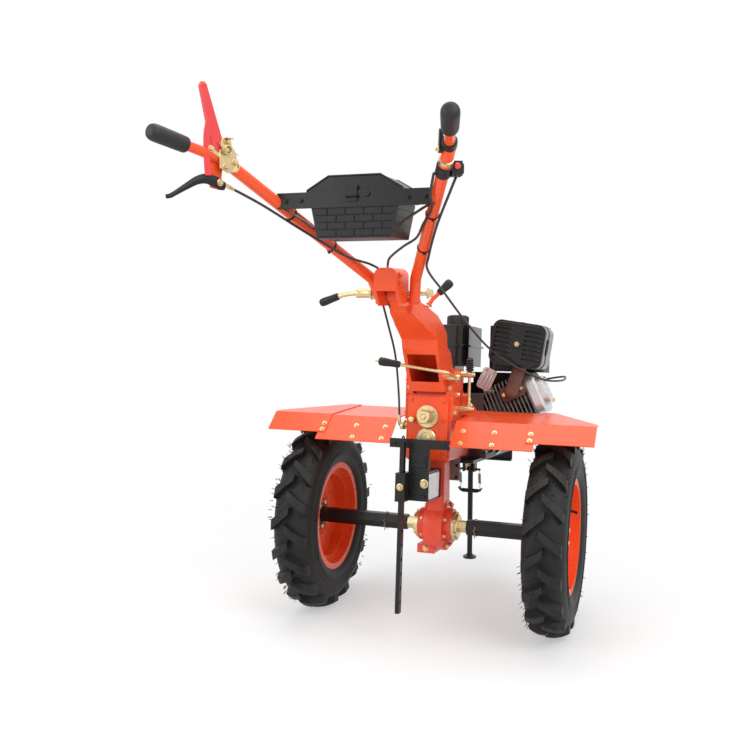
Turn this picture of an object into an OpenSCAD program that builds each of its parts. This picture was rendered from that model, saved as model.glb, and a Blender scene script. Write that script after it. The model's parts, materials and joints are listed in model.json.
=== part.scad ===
// Walk-behind rotary tiller on two drive wheels, with its rotor taken off and its depth stake fitted.
// Millimetres. +X is forward, +Y is left and +Z is up.
// The origin is on the ground under the middle of its box.

/* [Stance] */
// Nose-down lean of the chassis as it parks, in degrees
park_pitch = 5; // [0:0.5:8]
// Distance between the middle planes of the wheels
track = 724; // [680:2:840]

/* [Wheels] */
// Radius over the lugs' tips
tyre_r = 285; // [265:1:310]
// Width of the tyre over its sidewalls
tyre_w = 120; // [110:1:140]
// Width of the tread over the lugs' outer ends
tread_w = 104; // [98:1:112]
// Height of the lugs above the carcass
lug_h = 22; // [14:1:28]
// Lugs in each of the two rows
lug_count = 18; // [14:1:22]
// Height of the tyre's section, from the rim to the carcass's crown
section_h = 111; // [100:1:120]

/* [Gearbox] */
// Width of the upper case
case_w = 132; // [120:1:150]
// Height of the upper case's top above the axle
case_top = 392; // [370:1:420]
// Height of the upper case's underside above the axle
case_low = 200; // [190:1:215]
// Radius of the final drive's hub
hub_r = 74; // [66:1:82]

/* [Engine] */
// Height of the crankshaft above the axle
crank_z = 295; // [285:1:310]
// Distance of the crankshaft to the right of the middle plane
crank_off = 25; // [15:1:35]
// Tilt of the cylinder above the horizontal, in degrees
cyl_tilt = 25; // [15:1:35]
// Fins on the cylinder and its head
fin_count = 13; // [10:1:14]

/* [Handlebar] */
// Distance of the head's pivot behind the axle
pivot_back = 425; // [405:1:445]
// Height of the head's pivot above the axle
pivot_up = 655; // [640:1:680]
// Distance of the grips' ends behind the pivot
bar_reach = 631; // [580:1:680]
// Distance between the middles of the grips' ends
bar_spread = 620; // [560:1:680]
// Height of the grips' ends above the pivot
bar_rise = 320; // [280:1:360]
// Diameter of the main bars
bar_d = 28; // [25:1:32]

/* [Fenders] */
// Width over the outer ends of the fenders
fender_span = 958; // [900:2:1060]
// Gap between the tyres and the fenders' flat tops
fender_gap = 42; // [35:1:60]

/* [Hidden] */
$fn = 64;

// How far a cut runs past the face that it leaves
overrun = 2;
// Gap between curved faces of two pieces that meet
seat = 0.3;
// Radial clearance of a shaft that turns in a bore
run_fit = 0.05;
// How far out on its round ends a link's straight sides start
link_share = 0.98;

// Wheels
carcass_r = tyre_r - lug_h;
rim_r = carcass_r - section_h;
tyre_wall = 10;
carcass_round = 42;
bead_h = 14;
bead_half = 43;
mouth_half = 30;
crown_r = 95;
lug_foot = 18;
lug_lead = 46;
lug_thick_in = 20;
lug_thick_out = 32;
lug_cross = 6;
rim_wall = 4;
rim_lip = 13;
well_drop = 20;
well_r = rim_r - well_drop;
well_half = 22;
disc_in = -18;
disc_out = 14;
disc_t = 5;
disc_flat_r = 78;
disc_bore_r = 20;
sleeve_af = 42;
shaft_af = 32;
plate_r = 48;
plate_t = 8;
journal_r = 20;
journal_in = 30;
shaft_end = 60;
sleeve_gap = 25;

// Gearbox
case_rear = -104;
case_front = 118;
case_round = 10;
cover_t = 8;
cover_in = 6;
leg_y = [-38, 10];
leg_top_x = [-60, 6];
leg_low_x = [-56, 20];
leg_low_z = 50;
hub_y = [-58, 42];
hub_main_y = [-40, 18];
hub_side_r = [50, 48];
sump_size = [74, 52, 26];
sump_y = 16;
flange_r = 42;
flange_t = 9;
boss_r = 34;
boss_t = 8;
pto_z = 328;
cap_z = 265;
pto_flange_r = 32;
pto_nose_r = 19;
cap_flange_t = 7;
pto_nose_l = 40;
low_cap_r = 29;
low_cap_l = 12;
top_cover_x = [-88, 100];
top_cover_w = 104;

// Engine
pto_face = 168;
bell_r = 78;
bell_y = -9;
block_x = [168, 322];
block_y = [-98, 62];
block_z = [190, 392];
foot_t = 14;
foot_out = 12;
cyl_x = 245;
fins_rear = 170;
barrel_r = 50;
fin_in = 84;
fin_out = 238;
fin_size = [2 * (cyl_x - fins_rear), 146];
fin_t = 3.5;
fin_round = 18;
cover_len = 44;
cover_size = [112, 92];
cover_round = 22;
port_y = -190;
elbow_x = 138;
elbow_stub = 22;
elbow_lean = 32;
elbow_d = 40;
elbow_z = [404, 500];
flange_plate = [78, 46];
flange_round = 16;
muffler_mid = [168, -213, 548];
muffler_size = [136, 162, 135];
muffler_round = 26;
muffler_roll = 8;
guard_t = 6;
guard_gap = 6;
louvre_rows = 7;
louvre_size = [50, 5];
louvre_pitch = 14;
louvre_off = 45;
guard_post_r = 15;
guard_boss = 5;
tank_x = [150, 400];
tank_y = [-45, 150];
tank_z = [478, 608];
tank_round = 34;
tank_lip = 6;
tank_lip_t = 6;
tank_foot = [120, 66];
filler_at = [270, 20];
filler_r = 36;
filler_h = 36;
cleaner_x = [238, 392];
cleaner_y = [-268, -92];
cleaner_z = [466, 612];
cleaner_round = 24;
carb_x = [328, 372];
carb_y = [-222, -178];
carb_low = 402;
fan_r = 132;
fan_x = [322, 412];
hood_y = -214;
hood_z = [330, 462];
starter_r = 104;
starter_x = [412, 452];
starter_hub_r = 40;
starter_hub_l = 12;
rail_y = 92;
rail_w = 40;
rail_t = 10;
rail_x = [82, 655];
spacer_l = 34;
spacer_half = 58;
rail_top = 190;
nose_x = [655, 690];
nose_z = [140, 190];
nose_wall = 5;
tow_r = 11;
tow_x = 670;
ear_t = 6;
ear_w = 40;

// Column, levers and linkage
plate_half = 52;
steel_t = 5;
tip_half = 30;
taper_shares = [0.4945, 0.8615];
window_z = [428, 504];
window_front = -110;
tongue_half = 20;
tongue_r = 22;
saddle_x = [-104, 5];
saddle_z = [318, 466];
column_past = 30;
column_over = 15;
column_reach = pivot_back + column_past;
column_rise = pivot_up - case_top - cover_t + column_over;
column_rear_shares = [[0.29, 0], [0.375, 0.22], [0.46, 0.44], [0.48, 0.54], [0.8615, 0.774]];
column_front_shares = [[-0.16, 0], [-0.16, 0.25], [0.09, 0.25], [0.16, 0.42], [0.245, 0.475],
    [0.27, 0.62], [0.36, 0.7], [0.47, 0.775], [0.66, 0.86], [0.813, 0.907]];
gear_rod = [[-293, -43.5, 631.7], [-284, -54, 652], [-276, -68, 668]];
gear_knob_l = 48;
gear_rod_d = 10;
gear_knob_d = 25;
low_rod = [[-120, -86, 442], [-186, -76, 455], [-222, 52, 474]];
low_knob_l = 62;
low_rod_d = 9;
low_knob_d = 24;
low_pin_d = 18;
link_x = -24;
link_y = 98;
link_z = [350, 452];
link_d = 9;
link_ball_d = 18;
arm_at = [-96, 300];
arm_end = [-116, 296];
arm_r = [14, 9];
arm_y = [72, 80];
arm_pin_d = 16;

// Fenders
fender_top = 2 * tyre_r + fender_gap;
fender_t = 2.5;
fender_front = 150;
fender_rear = -92;
flap_back = 70;
flap_drop = 68;
ext_flap_share = 0.73;
ext_cut_x = [140, -90];
front_lip = 22;
fender_in = 88;
fender_join = 318;
fender_lap = 24;
fender_tab = [20, 110];
cross_bar_h = 26;
cross_bar_t = 6;
cross_bar_off = [10, 3];

// Hitch and stake
hitch_half = 30;
hitch_x = [-186, -50];
hitch_tab_t = 6;
hitch_z = [92, 176];
hitch_pin_r = 10;
hitch_pin_x = -150;
stake_size = [20, 12];
stake_x = -217;
stake_y = 38;
stake_z = [-220, 260];
stake_hole_d = 11;
stake_pitch = 40;
stake_holes = 7;
stake_first = 30;
sleeve_wall = 8;
sleeve_z = [93, 173];

// Handlebar
head_half = 30;
head_t = 5;
head_x = [-92, 4];
head_z = [-32, 62];
head_round = 20;
head_cut = [-62, 12];
bar_thin_d = 22;
bar_foot = [8, -22];
bar_shares = [[0.041, 0.187, 0.114], [0.687, 0.822, 0.898], [1, 1, 1]];
grip_d = 36;
grip_l = 98;
clamp_d = 12;
clamp_sleeve_d = 24;
clamp_sleeve_y = [70, 110];
clamp_end = 162;
clamp_knob_d = 18;
clamp_knob_l = 54;
// Points beside the bars run back along the bar and up, from the bar at lever_at or at its elbow
lever_at = -398;
lever_pivot = [62, 52];
lever_top = [95, 168];
lever_r = [15, 8];
lever_t = 10;
bracket_t = 5;
bracket_points = [[4, -16], [9, 12], [34, 22], [34, 44], [20, 52], [-36, 44], [-54, 12], [-50, -28],
    [-24, -34]];
hang_t = 6;
hang_points = [[2, -4], [40, 8], [34, -62], [10, -66]];
hand_pivot = [20, -52];
hand_knee = [60, -50];
hand_tip = [138, -98];
hand_r = [10, 8, 6];
hand_t = 14;
switch_at = [-62, -34];
switch_size = [30, 30];
switch_t = 22;
switch_lever = [[0, -4], [6, 30]];
switch_r = [8, 5];
switch_lever_t = 8;
panel_x = -306;
panel_t = 4;
panel_z = [190, 226];
panel_half = 188;
box_x = [panel_x + panel_t, -184];
box_z = [122, 200];
box_half = [106, 90];
box_wall = 3;
lid_gap = 2;
lid_half = [114, 62];
lid_z = [230, 260];
lid_wall = 2.5;
lid_hinge = [-176, 204];
hinge_r = 4;
hinge_half = 72;
hinge_ear = [64, 70];
hinge_ear_r = 6;
lid_front = -178;

// Stand and springs
stand_at = [625, 51, 150];
stand_lead = 8;
stand_peg = 45;
stand_d = 19;
stand_collar_d = 27;
stand_collar_l = 52;
foot_r = 24;
foot_h = 6;
stand_bar_drop = 124;
stand_bar_half = 40;
stand_bar_d = 8;
spring_d = 8;
pin_r = 6;
pin_half = 30;

// Cables
cable_d = 6;
cable_sides = 8;
cable_steps = 4;
// Route points are level and measured from the axle's middle
clutch_route = [[-812.6, 249.7, 924], [-715, 206, 887], [-612, 148, 833], [-500, 90, 781],
    [-430, 48, 761], [-370, 44, 745], [-330, 56, 715], [-285, 70, 675], [-205, 80, 605],
    [-130, 84, 515], [-98, 84, 405], [-90, 83.3, 307]];
throttle_route = [[-733, -250, 924.9], [-690, -226, 901], [-600, -172, 839], [-500, -124, 777],
    [-440, -104, 745], [-289, -102, 693], [-133, -120, 615], [20, -150, 535], [85, -200, 485],
    [125, -290, 437], [200, -338, 427], [290, -336, 431], [350, -290, 421], [380, -223.6, 405]];
stop_route = [[-740, -205, 936], [-700, -186, 897], [-668, -180, 871], [-600, -140, 843], [-535, -104, 818],
    [-500, -60, 800], [-450, -10, 777], [-410, 10, 761], [-365, 26, 755], [-325, 44, 727],
    [-288, 56, 690], [-250, 58, 650], [-205, 51.8, 595]];

// Frame
c_pitch = cos(park_pitch);
s_pitch = sin(park_pitch);
function level(p) = [p[0] * c_pitch + p[2] * s_pitch, p[1], tyre_r - p[0] * s_pitch + p[2] * c_pitch];
function body_of(p) = let (z = p[2] - tyre_r)
    [p[0] * c_pitch - z * s_pitch, p[1], p[0] * s_pitch + z * c_pitch];
pivot = level([-pivot_back, 0, pivot_up]);
bar_end = bar_point(len(bar_shares) - 1, 1);
grip_axis = (bar_end - bar_point(1, 1)) / norm(bar_end - bar_point(1, 1));
rear_most = pivot[0] + bar_end[0] - grip_d / 2 * sqrt(1 - grip_axis[0] * grip_axis[0]);
front_most = level([nose_x[1], 0, nose_z[1]])[0];
origin_x = -(rear_most + front_most) / 2;
hub_faces = [hub_y[1], -hub_y[0]];

function bar_point(i, side) = [-bar_shares[i][0] * bar_reach, side * bar_shares[i][1] * bar_spread / 2,
    bar_shares[i][2] * bar_rise];
function bar_mix(x, side) = let (a = bar_point(0, side), b = bar_point(1, side))
    a + (x - a[0]) / (b[0] - a[0]) * (b - a);
function foot_point(side) = [bar_foot[0], side * (head_half + seat + bar_d / 2), bar_foot[1]];
function grip_start(side) = let (a = bar_point(1, side), b = bar_point(2, side)) b - unit(b - a) * grip_l;
function unit(v) = v / norm(v);
function turned(v) = [-v[1], v[0]];
function reversed(p) = [for (i = [len(p) - 1:-1:0]) p[i]];
// A line of points moved sideways by t, mitred at its bends
function beside(p, t) = [for (i = [0:len(p) - 1])
    let (a = turned(unit(i == 0 ? p[1] - p[0] : p[i] - p[i - 1])))
    let (b = turned(unit(i == len(p) - 1 ? p[i] - p[i - 1] : p[i + 1] - p[i])))
    let (m = unit(a + b)) p[i] + m * t / (m * a)];
function band(p, t) = concat(p, reversed(beside(p, t)));
// A clockwise outline moved inward by t
function inset(p, t) = [for (i = [0:len(p) - 1])
    let (n = len(p), a = turned(unit(p[i] - p[(i + n - 1) % n])), b = turned(unit(p[(i + 1) % n] - p[i])))
    let (m = unit(a + b)) p[i] - m * t / (m * a)];
// Points of a smooth line through the route's points
function smooth(p, n) = concat([for (i = [0:len(p) - 2], k = [0:n - 1])
    let (a = p[max(i - 1, 0)], b = p[i], c = p[i + 1], d = p[min(i + 2, len(p) - 1)], t = k / n)
    (2 * b + t * (c - a) + t * t * (2 * a - 5 * b + 4 * c - d) + t * t * t * (3 * b - a - 3 * c + d)) / 2],
    [p[len(p) - 1]]);

module world() { translate([origin_x, 0, 0]) children(); }
module chassis() { world() translate([0, 0, tyre_r]) rotate([0, park_pitch, 0]) children(); }
module wheel(side) {
    world() translate([0, side * track / 2, tyre_r]) mirror([0, (1 - side) / 2, 0])
        rotate([-90, 0, 0]) children();
}
module from_pivot() { world() translate(pivot) children(); }
module across(y) { translate([0, y[1], 0]) rotate([90, 0, 0]) linear_extrude(y[1] - y[0]) children(); }
module along(x) { translate([x[0], 0, 0]) rotate([90, 0, 90]) linear_extrude(x[1] - x[0]) children(); }
module upward(z) { translate([0, 0, z[0]]) linear_extrude(z[1] - z[0]) children(); }
module box(x, y, z) { translate([x[0], y[0], z[0]]) cube([x[1] - x[0], y[1] - y[0], z[1] - z[0]]); }
module rod(a, b, d) {
    v = b - a;
    translate(a) rotate([0, acos(v[2] / norm(v)), atan2(v[1], v[0])]) cylinder(h = norm(v), d = d);
}
module rounded(size, r) {
    square([size[0] - 2 * r, size[1]], center = true);
    square([size[0], size[1] - 2 * r], center = true);
    for (x = [-1, 1], y = [-1, 1]) translate([x * (size[0] / 2 - r), y * (size[1] / 2 - r)]) circle(r);
}
// A flat link with round ends, from a to b in the X-Z plane, between the two values of y
module link(y, a, b, ra, rb) {
    n = turned(unit(b - a)) * link_share;
    across(y) translate(a) circle(ra);
    across(y) translate(b) circle(rb);
    across(y) polygon([a + n * ra, b + n * rb, b - n * rb, a - n * ra]);
}
module hexagon(af) { circle(d = af / cos(30), $fn = 6); }
// A cable along a route in level coordinates
module cable(route, d) {
    p = smooth(route, cable_steps);
    n = len(p);
    points = [for (i = [0:n - 1])
        let (t = unit(p[min(i + 1, n - 1)] - p[max(i - 1, 0)]))
        let (u = unit(cross(t, [0.3, 1, 0.1])), w = cross(t, u))
        for (k = [0:cable_sides - 1])
            let (q = 360 * k / cable_sides) p[i] + d / 2 * (u * cos(q) + w * sin(q))];
    sides = [for (i = [0:n - 2], k = [0:cable_sides - 1])
        let (a = i * cable_sides, b = (k + 1) % cable_sides)
        [a + k, a + b, a + cable_sides + b, a + cable_sides + k]];
    first = [for (k = [cable_sides - 1:-1:0]) k];
    last = [for (k = [0:cable_sides - 1]) (n - 1) * cable_sides + k];
    world() translate([0, 0, tyre_r]) polyhedron(points, concat(sides, [first, last]));
}

module tyre(side) {
    color([0.06, 0.06, 0.065]) wheel(side) difference() {
        union() {
            rotate_extrude() difference() {
                union() {
                    translate([(rim_r + seat + carcass_r) / 2, 0])
                        rounded([carcass_r - rim_r - seat, tyre_w], carcass_round);
                    translate([rim_r + seat, -bead_half]) square([carcass_round, 2 * bead_half]);
                }
                for (z = [-1, 1]) translate([rim_r - overrun, z * (bead_half + tyre_w / 2) - tyre_w / 2])
                    square([rim_lip + seat + overrun, tyre_w]);
            }
            lugs();
        }
        rotate_extrude() {
            translate([(rim_r + bead_h + carcass_r - tyre_wall) / 2, 0])
                rounded([carcass_r - tyre_wall - rim_r - bead_h, tyre_w - 2 * tyre_wall],
                    carcass_round - tyre_wall);
            translate([rim_r - overrun, -mouth_half]) square([carcass_round, 2 * mouth_half]);
        }
    }
}
module lugs() {
    intersection() {
        rotate_extrude() intersection() {
            translate([tyre_r - crown_r, 0]) circle(crown_r);
            translate([carcass_r - 2 * lug_foot, -tread_w / 2]) square([lug_h + 2 * lug_foot, tread_w]);
        }
        for (row = [-1, 1], i = [0:lug_count - 1])
            rotate(360 / lug_count * (i + row / 4)) along([carcass_r - lug_foot, tyre_r + overrun])
                lug_outline(row);
    }
}
module lug_outline(row) {
    out = row * (tread_w / 2 + overrun);
    in = -row * lug_cross;
    polygon([[-lug_thick_out / 2, out], [lug_lead - lug_thick_in / 2, in],
        [lug_lead + lug_thick_in / 2, in], [lug_thick_out / 2, out]]);
}
module rim(side) {
    color([0.86, 0.24, 0.08]) wheel(side) rotate_extrude() {
        for (z = [-1, 1]) {
            translate([rim_r - rim_wall, z * (bead_half + seat + rim_wall / 2) - rim_wall / 2])
                square([rim_wall + rim_lip, rim_wall]);
            translate([rim_r - rim_wall, z < 0 ? -bead_half - seat - overrun : well_half - rim_wall])
                square([rim_wall, bead_half + seat + overrun + rim_wall - well_half]);
            translate([well_r - rim_wall, z < 0 ? -well_half : well_half - rim_wall])
                square([rim_r - well_r + rim_wall, rim_wall]);
        }
        translate([well_r - rim_wall, -well_half]) square([rim_wall, 2 * well_half]);
        translate([disc_bore_r, -disc_in]) square([disc_flat_r - disc_bore_r, disc_t]);
        polygon([[disc_flat_r - overrun, -disc_in], [well_r - rim_wall, disc_out - disc_t],
            [well_r - rim_wall, disc_out], [disc_flat_r - overrun, disc_t - disc_in]]);
    }
}
// The wheel's frame points outward, so its inner lengths are measured back from the wheel's middle plane
module axle(side) {
    start = hub_faces[(1 - side) / 2] + flange_t + boss_t + sleeve_gap - track / 2;
    color([0.07, 0.07, 0.075]) wheel(side) difference() {
        union() {
            upward([start, -disc_in - plate_t]) hexagon(sleeve_af);
            upward([-disc_in - plate_t, -disc_in]) circle(plate_r);
        }
        upward([start - overrun, -disc_in + overrun]) hexagon(shaft_af + 2 * seat);
    }
}
module shaft(side) {
    face = hub_faces[(1 - side) / 2] - track / 2;
    out = face + flange_t + boss_t;
    color([0.80, 0.72, 0.45]) wheel(side) {
        upward([face - journal_in, out + seat]) circle(journal_r);
        upward([out + seat, out + sleeve_gap + shaft_end]) hexagon(shaft_af);
    }
}

module gearbox() {
    color([0.86, 0.24, 0.08]) chassis() {
        along([case_rear, case_front]) translate([0, (case_top + case_low) / 2])
            rounded([case_w, case_top - case_low], case_round);
        along([case_rear - cover_t, case_rear]) translate([0, (case_top + case_low) / 2])
            rounded([case_w - 2 * cover_in, case_top - case_low - 2 * cover_in], case_round);
        upward([case_top, case_top + cover_t]) translate([(top_cover_x[0] + top_cover_x[1]) / 2, 0])
            rounded([top_cover_x[1] - top_cover_x[0], top_cover_w], case_round);
    }
}
module final_drive() {
    color([0.80, 0.20, 0.09]) chassis() difference() {
        union() {
            across(leg_y) leg_outline();
            across(hub_main_y) circle(hub_r);
            across([hub_y[0], hub_main_y[0]]) circle(hub_side_r[0]);
            across([hub_main_y[1], hub_y[1]]) circle(hub_side_r[1]);
            translate([-sump_size[0] / 2, sump_y - sump_size[1] / 2, -hub_r - cover_t]) cube(sump_size);
        }
        across([hub_y[0] - overrun, hub_y[1] + overrun]) circle(journal_r + run_fit);
    }
}
module axle_flanges() {
    color([0.80, 0.72, 0.45]) chassis() for (side = [-1, 1]) mirror([0, (1 - side) / 2, 0]) {
        face = hub_faces[(1 - side) / 2];
        difference() {
            union() {
                across([face, face + flange_t]) circle(flange_r);
                across([face + flange_t, face + flange_t + boss_t]) circle(boss_r);
            }
            across([face - overrun, face + flange_t + boss_t + overrun]) circle(journal_r + run_fit);
        }
    }
}
module gearbox_caps() {
    rear = case_rear - cover_t;
    color([0.80, 0.72, 0.45]) chassis() {
        translate([0, 0, pto_z]) along([rear - cap_flange_t, rear]) circle(pto_flange_r);
        translate([0, 0, pto_z]) along([rear - cap_flange_t - pto_nose_l, rear - cap_flange_t])
            circle(pto_nose_r);
        translate([0, 0, cap_z]) along([rear - low_cap_l, rear]) circle(low_cap_r);
    }
}
module clutch_housing() {
    color([0.82, 0.22, 0.08]) chassis() translate([0, bell_y, crank_z])
        along([case_front, pto_face]) circle(bell_r);
}

module crankcase() {
    color([0.20, 0.20, 0.21]) chassis() {
        box(block_x, block_y, block_z);
        box(block_x, [block_y[0] - foot_out, block_y[1] + foot_out], [block_z[0], block_z[0] + foot_t]);
    }
}
module on_cylinder() {
    chassis() translate([cyl_x, -crank_off, crank_z]) rotate([90 - cyl_tilt, 0, 0]) children();
}
module cylinder_block() {
    pitch = (fin_out - fin_in - fin_t) / (fin_count - 1);
    color([0.32, 0.32, 0.33]) difference() {
        on_cylinder() {
            upward([fin_in, fin_out]) circle(barrel_r);
            for (i = [0:fin_count - 1]) upward([fin_in + i * pitch, fin_in + i * pitch + fin_t])
                rounded(fin_size, fin_round);
        }
        chassis() box([block_x[0] - fin_size[0], block_x[1] + fin_size[0]], block_y, [0, 2 * block_z[1]]);
    }
}
module head_cover() {
    color([0.75, 0.76, 0.78]) on_cylinder() {
        upward([fin_out, fin_out + cover_len]) rounded(cover_size, cover_round);
    }
}
module exhaust_elbow() {
    low = [elbow_x, port_y, elbow_z[0]];
    color([0.40, 0.24, 0.15]) chassis() {
        difference() {
            rod(low, [elbow_x, port_y - elbow_lean, elbow_z[1]], elbow_d);
            translate(muffler_mid) rotate([muffler_roll, 0, 0]) muffler_block();
        }
        translate(low) sphere(d = elbow_d + seat);
        rod(low, low + [elbow_stub, 0, 0], elbow_d);
        translate([0, port_y, elbow_z[0]]) rotate([-cyl_tilt, 0, 0])
            along([elbow_x + elbow_stub - overrun, fins_rear]) rounded(flange_plate, flange_round);
    }
}
module muffler_frame() { chassis() translate(muffler_mid) rotate([muffler_roll, 0, 0]) children(); }
module muffler_block() {
    along([-muffler_size[0] / 2, muffler_size[0] / 2])
        rounded([muffler_size[1], muffler_size[2]], muffler_round);
}
module muffler() { color([0.05, 0.05, 0.055]) muffler_frame() muffler_block(); }
module muffler_guard() {
    rear = -muffler_size[0] / 2;
    color([0.05, 0.05, 0.055]) muffler_frame() {
        difference() {
            along([rear - guard_gap - guard_t, rear - guard_gap])
                rounded([muffler_size[1], muffler_size[2]], muffler_round);
            for (y = [-1, 1], i = [0:louvre_rows - 1])
                translate([0, y * louvre_off, (i - (louvre_rows - 1) / 2) * louvre_pitch])
                    along([rear - guard_gap - guard_t - overrun, rear - guard_gap + overrun])
                        square(louvre_size, center = true);
        }
        along([rear - guard_gap, rear]) circle(guard_post_r);
        along([rear - guard_gap - guard_t - guard_boss, rear - guard_gap - guard_t]) circle(guard_post_r);
    }
}
module fuel_tank() {
    size = [tank_x[1] - tank_x[0], tank_y[1] - tank_y[0]];
    mid = [(tank_x[0] + tank_x[1]) / 2, (tank_y[0] + tank_y[1]) / 2];
    seam = (tank_z[0] + tank_z[1]) / 2;
    color([0.05, 0.05, 0.055]) chassis() {
        upward(tank_z) translate(mid) rounded([size[0] - 2 * tank_lip, size[1] - 2 * tank_lip], tank_round);
        upward([seam - tank_lip_t / 2, seam + tank_lip_t / 2]) translate(mid) rounded(size, tank_round);
        translate([mid[0] - tank_foot[0], block_y[1] - tank_foot[1], block_z[1]])
            cube([tank_foot[0], tank_foot[1], tank_z[0] - block_z[1]]);
    }
}
module fuel_cap() {
    color([0.06, 0.06, 0.065]) chassis() upward([tank_z[1], tank_z[1] + filler_h])
        translate(filler_at) circle(filler_r);
}
module air_cleaner() {
    color([0.07, 0.07, 0.075]) chassis() {
        upward(cleaner_z) translate([(cleaner_x[0] + cleaner_x[1]) / 2, (cleaner_y[0] + cleaner_y[1]) / 2])
            rounded([cleaner_x[1] - cleaner_x[0], cleaner_y[1] - cleaner_y[0]], cleaner_round);
        box(carb_x, carb_y, [carb_low, cleaner_z[0]]);
    }
}
module fan_housing() {
    color([0.10, 0.10, 0.105]) chassis() {
        translate([0, -crank_off, crank_z]) along(fan_x) intersection() {
            circle(fan_r);
            translate([-fan_r, block_z[0] - crank_z]) square([2 * fan_r, 2 * fan_r]);
        }
        box([fan_x[0], carb_x[0]], [hood_y, -crank_off], hood_z);
    }
}
module recoil_starter() {
    color([0.08, 0.08, 0.085]) chassis() translate([0, -crank_off, crank_z]) {
        along(starter_x) circle(starter_r);
        along([starter_x[1], starter_x[1] + starter_hub_l]) circle(starter_hub_r);
    }
}
module engine_bed() {
    peg = stand_at[2] - stand_peg;
    color([0.07, 0.07, 0.075]) chassis() difference() {
        union() {
            for (side = [-1, 1]) mirror([0, (1 - side) / 2, 0])
                box(rail_x, [rail_y - rail_w, rail_y], [rail_top - rail_t, rail_top]);
            box([rail_x[0], rail_x[0] + spacer_l], [-rail_y, rail_y], [rail_top - rail_t, rail_top]);
            box([rail_x[0], rail_x[0] + spacer_l], [-spacer_half, spacer_half], [rail_top, case_low]);
            difference() {
                box(nose_x, [-rail_y, rail_y], nose_z);
                box([nose_x[0] - overrun, nose_x[1] - nose_wall], [-rail_y - overrun, rail_y + overrun],
                    [nose_z[0] + nose_wall, nose_z[1] - nose_wall]);
            }
            for (side = [-1, 1]) translate([0, stand_at[1] + side * (stand_collar_d / 2 + ear_t), 0]) {
                box([stand_at[0] - ear_w / 2, nose_x[0]], [-ear_t / 2, ear_t / 2],
                    [stand_at[2] - ear_w / 2, nose_z[1]]);
                box([stand_at[0] - ear_w / 2, stand_at[0] + ear_w / 2], [-ear_t / 2, ear_t / 2],
                    [peg - stand_bar_d, stand_at[2]]);
            }
            for (side = [-1, 1]) translate([stand_at[0], stand_at[1], peg]) mirror([0, (1 - side) / 2, 0])
                across([stand_collar_d / 2 + ear_t, stand_bar_half]) circle(d = stand_bar_d);
        }
        translate([stand_at[0], 0, stand_at[2]]) across([stand_at[1] - rail_w, stand_at[1] + rail_w])
            circle(pin_r + run_fit);
        upward([nose_z[0] - overrun, nose_z[1] + overrun]) translate([tow_x, 0]) circle(tow_r);
    }
}

module column_block(outline, wall) {
    x = -taper_shares * column_reach;
    intersection() {
        across([-plate_half, plate_half]) polygon(outline);
        upward([case_top, case_top + 2 * column_rise]) for (side = [-1, 1]) mirror([0, (1 - side) / 2])
            polygon([[column_reach, -overrun], [column_reach, plate_half - wall], [x[0], plate_half - wall],
                [x[1], tip_half - wall], [x[1], -overrun]]);
    }
}
module column() {
    rear = [for (p = column_rear_shares) [-p[0] * column_reach, case_top + cover_t + p[1] * column_rise]];
    front = [for (p = column_front_shares) [-p[0] * column_reach, case_top + cover_t + p[1] * column_rise]];
    outline = concat(rear, reversed(front));
    tip = (rear[len(rear) - 1] + front[len(front) - 1]) / 2;
    top = [-pivot_back, pivot_up];
    face = case_w / 2 + seat;
    color([0.88, 0.26, 0.08]) chassis() {
        difference() {
            column_block(outline, 0);
            column_block(inset(outline, steel_t), steel_t);
            box([-column_reach, window_front], [2 * steel_t - plate_half, plate_half - 2 * steel_t],
                window_z);
        }
        for (side = [-1, 1]) mirror([0, (1 - side) / 2, 0]) {
            box(saddle_x, [face, face + steel_t], saddle_z);
            box([saddle_x[0], saddle_x[0] + steel_t], [plate_half - overrun, face + overrun],
                [case_top + seat, saddle_z[1]]);
        }
        difference() {
            link([-tongue_half, tongue_half], tip, top, tongue_r, tongue_r);
            translate([top[0], 0, top[1]]) across([-tongue_half - overrun, tongue_half + overrun])
                circle(clamp_d / 2 + run_fit);
        }
    }
}
module rod_chain(p, d) {
    for (i = [0:len(p) - 2]) rod(p[i], p[i + 1], d);
    for (i = [1:len(p) - 2]) translate(p[i]) sphere(d = d + seat);
}
module lever_rods() {
    color([0.75, 0.72, 0.62]) chassis() {
        rod_chain(gear_rod, gear_rod_d);
        rod_chain(low_rod, low_rod_d);
        translate([low_rod[0][0], 0, low_rod[0][2]]) across([low_rod[0][1] - low_rod_d, -plate_half])
            circle(d = low_pin_d);
    }
}
module lever_knobs() {
    color([0.05, 0.05, 0.055]) chassis() {
        rod(gear_rod[2], gear_rod[2] + unit(gear_rod[2] - gear_rod[1]) * gear_knob_l, gear_knob_d);
        rod(low_rod[2], low_rod[2] + unit(low_rod[2] - low_rod[1]) * low_knob_l, low_knob_d);
    }
}
module linkage() {
    color([0.75, 0.72, 0.62]) chassis() {
        rod([link_x, -link_y, link_z[0]], [link_x, -link_y, link_z[1]], link_d);
        for (z = link_z) translate([link_x, 0, z])
            across([-link_y - link_d, -case_w / 2 - steel_t - 2 * seat]) circle(d = link_ball_d);
        translate([arm_at[0], 0, arm_at[1]]) across([case_w / 2, arm_y[0]]) circle(d = arm_pin_d);
        link(arm_y, arm_at, arm_end, arm_r[0], arm_r[1]);
    }
}

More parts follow.
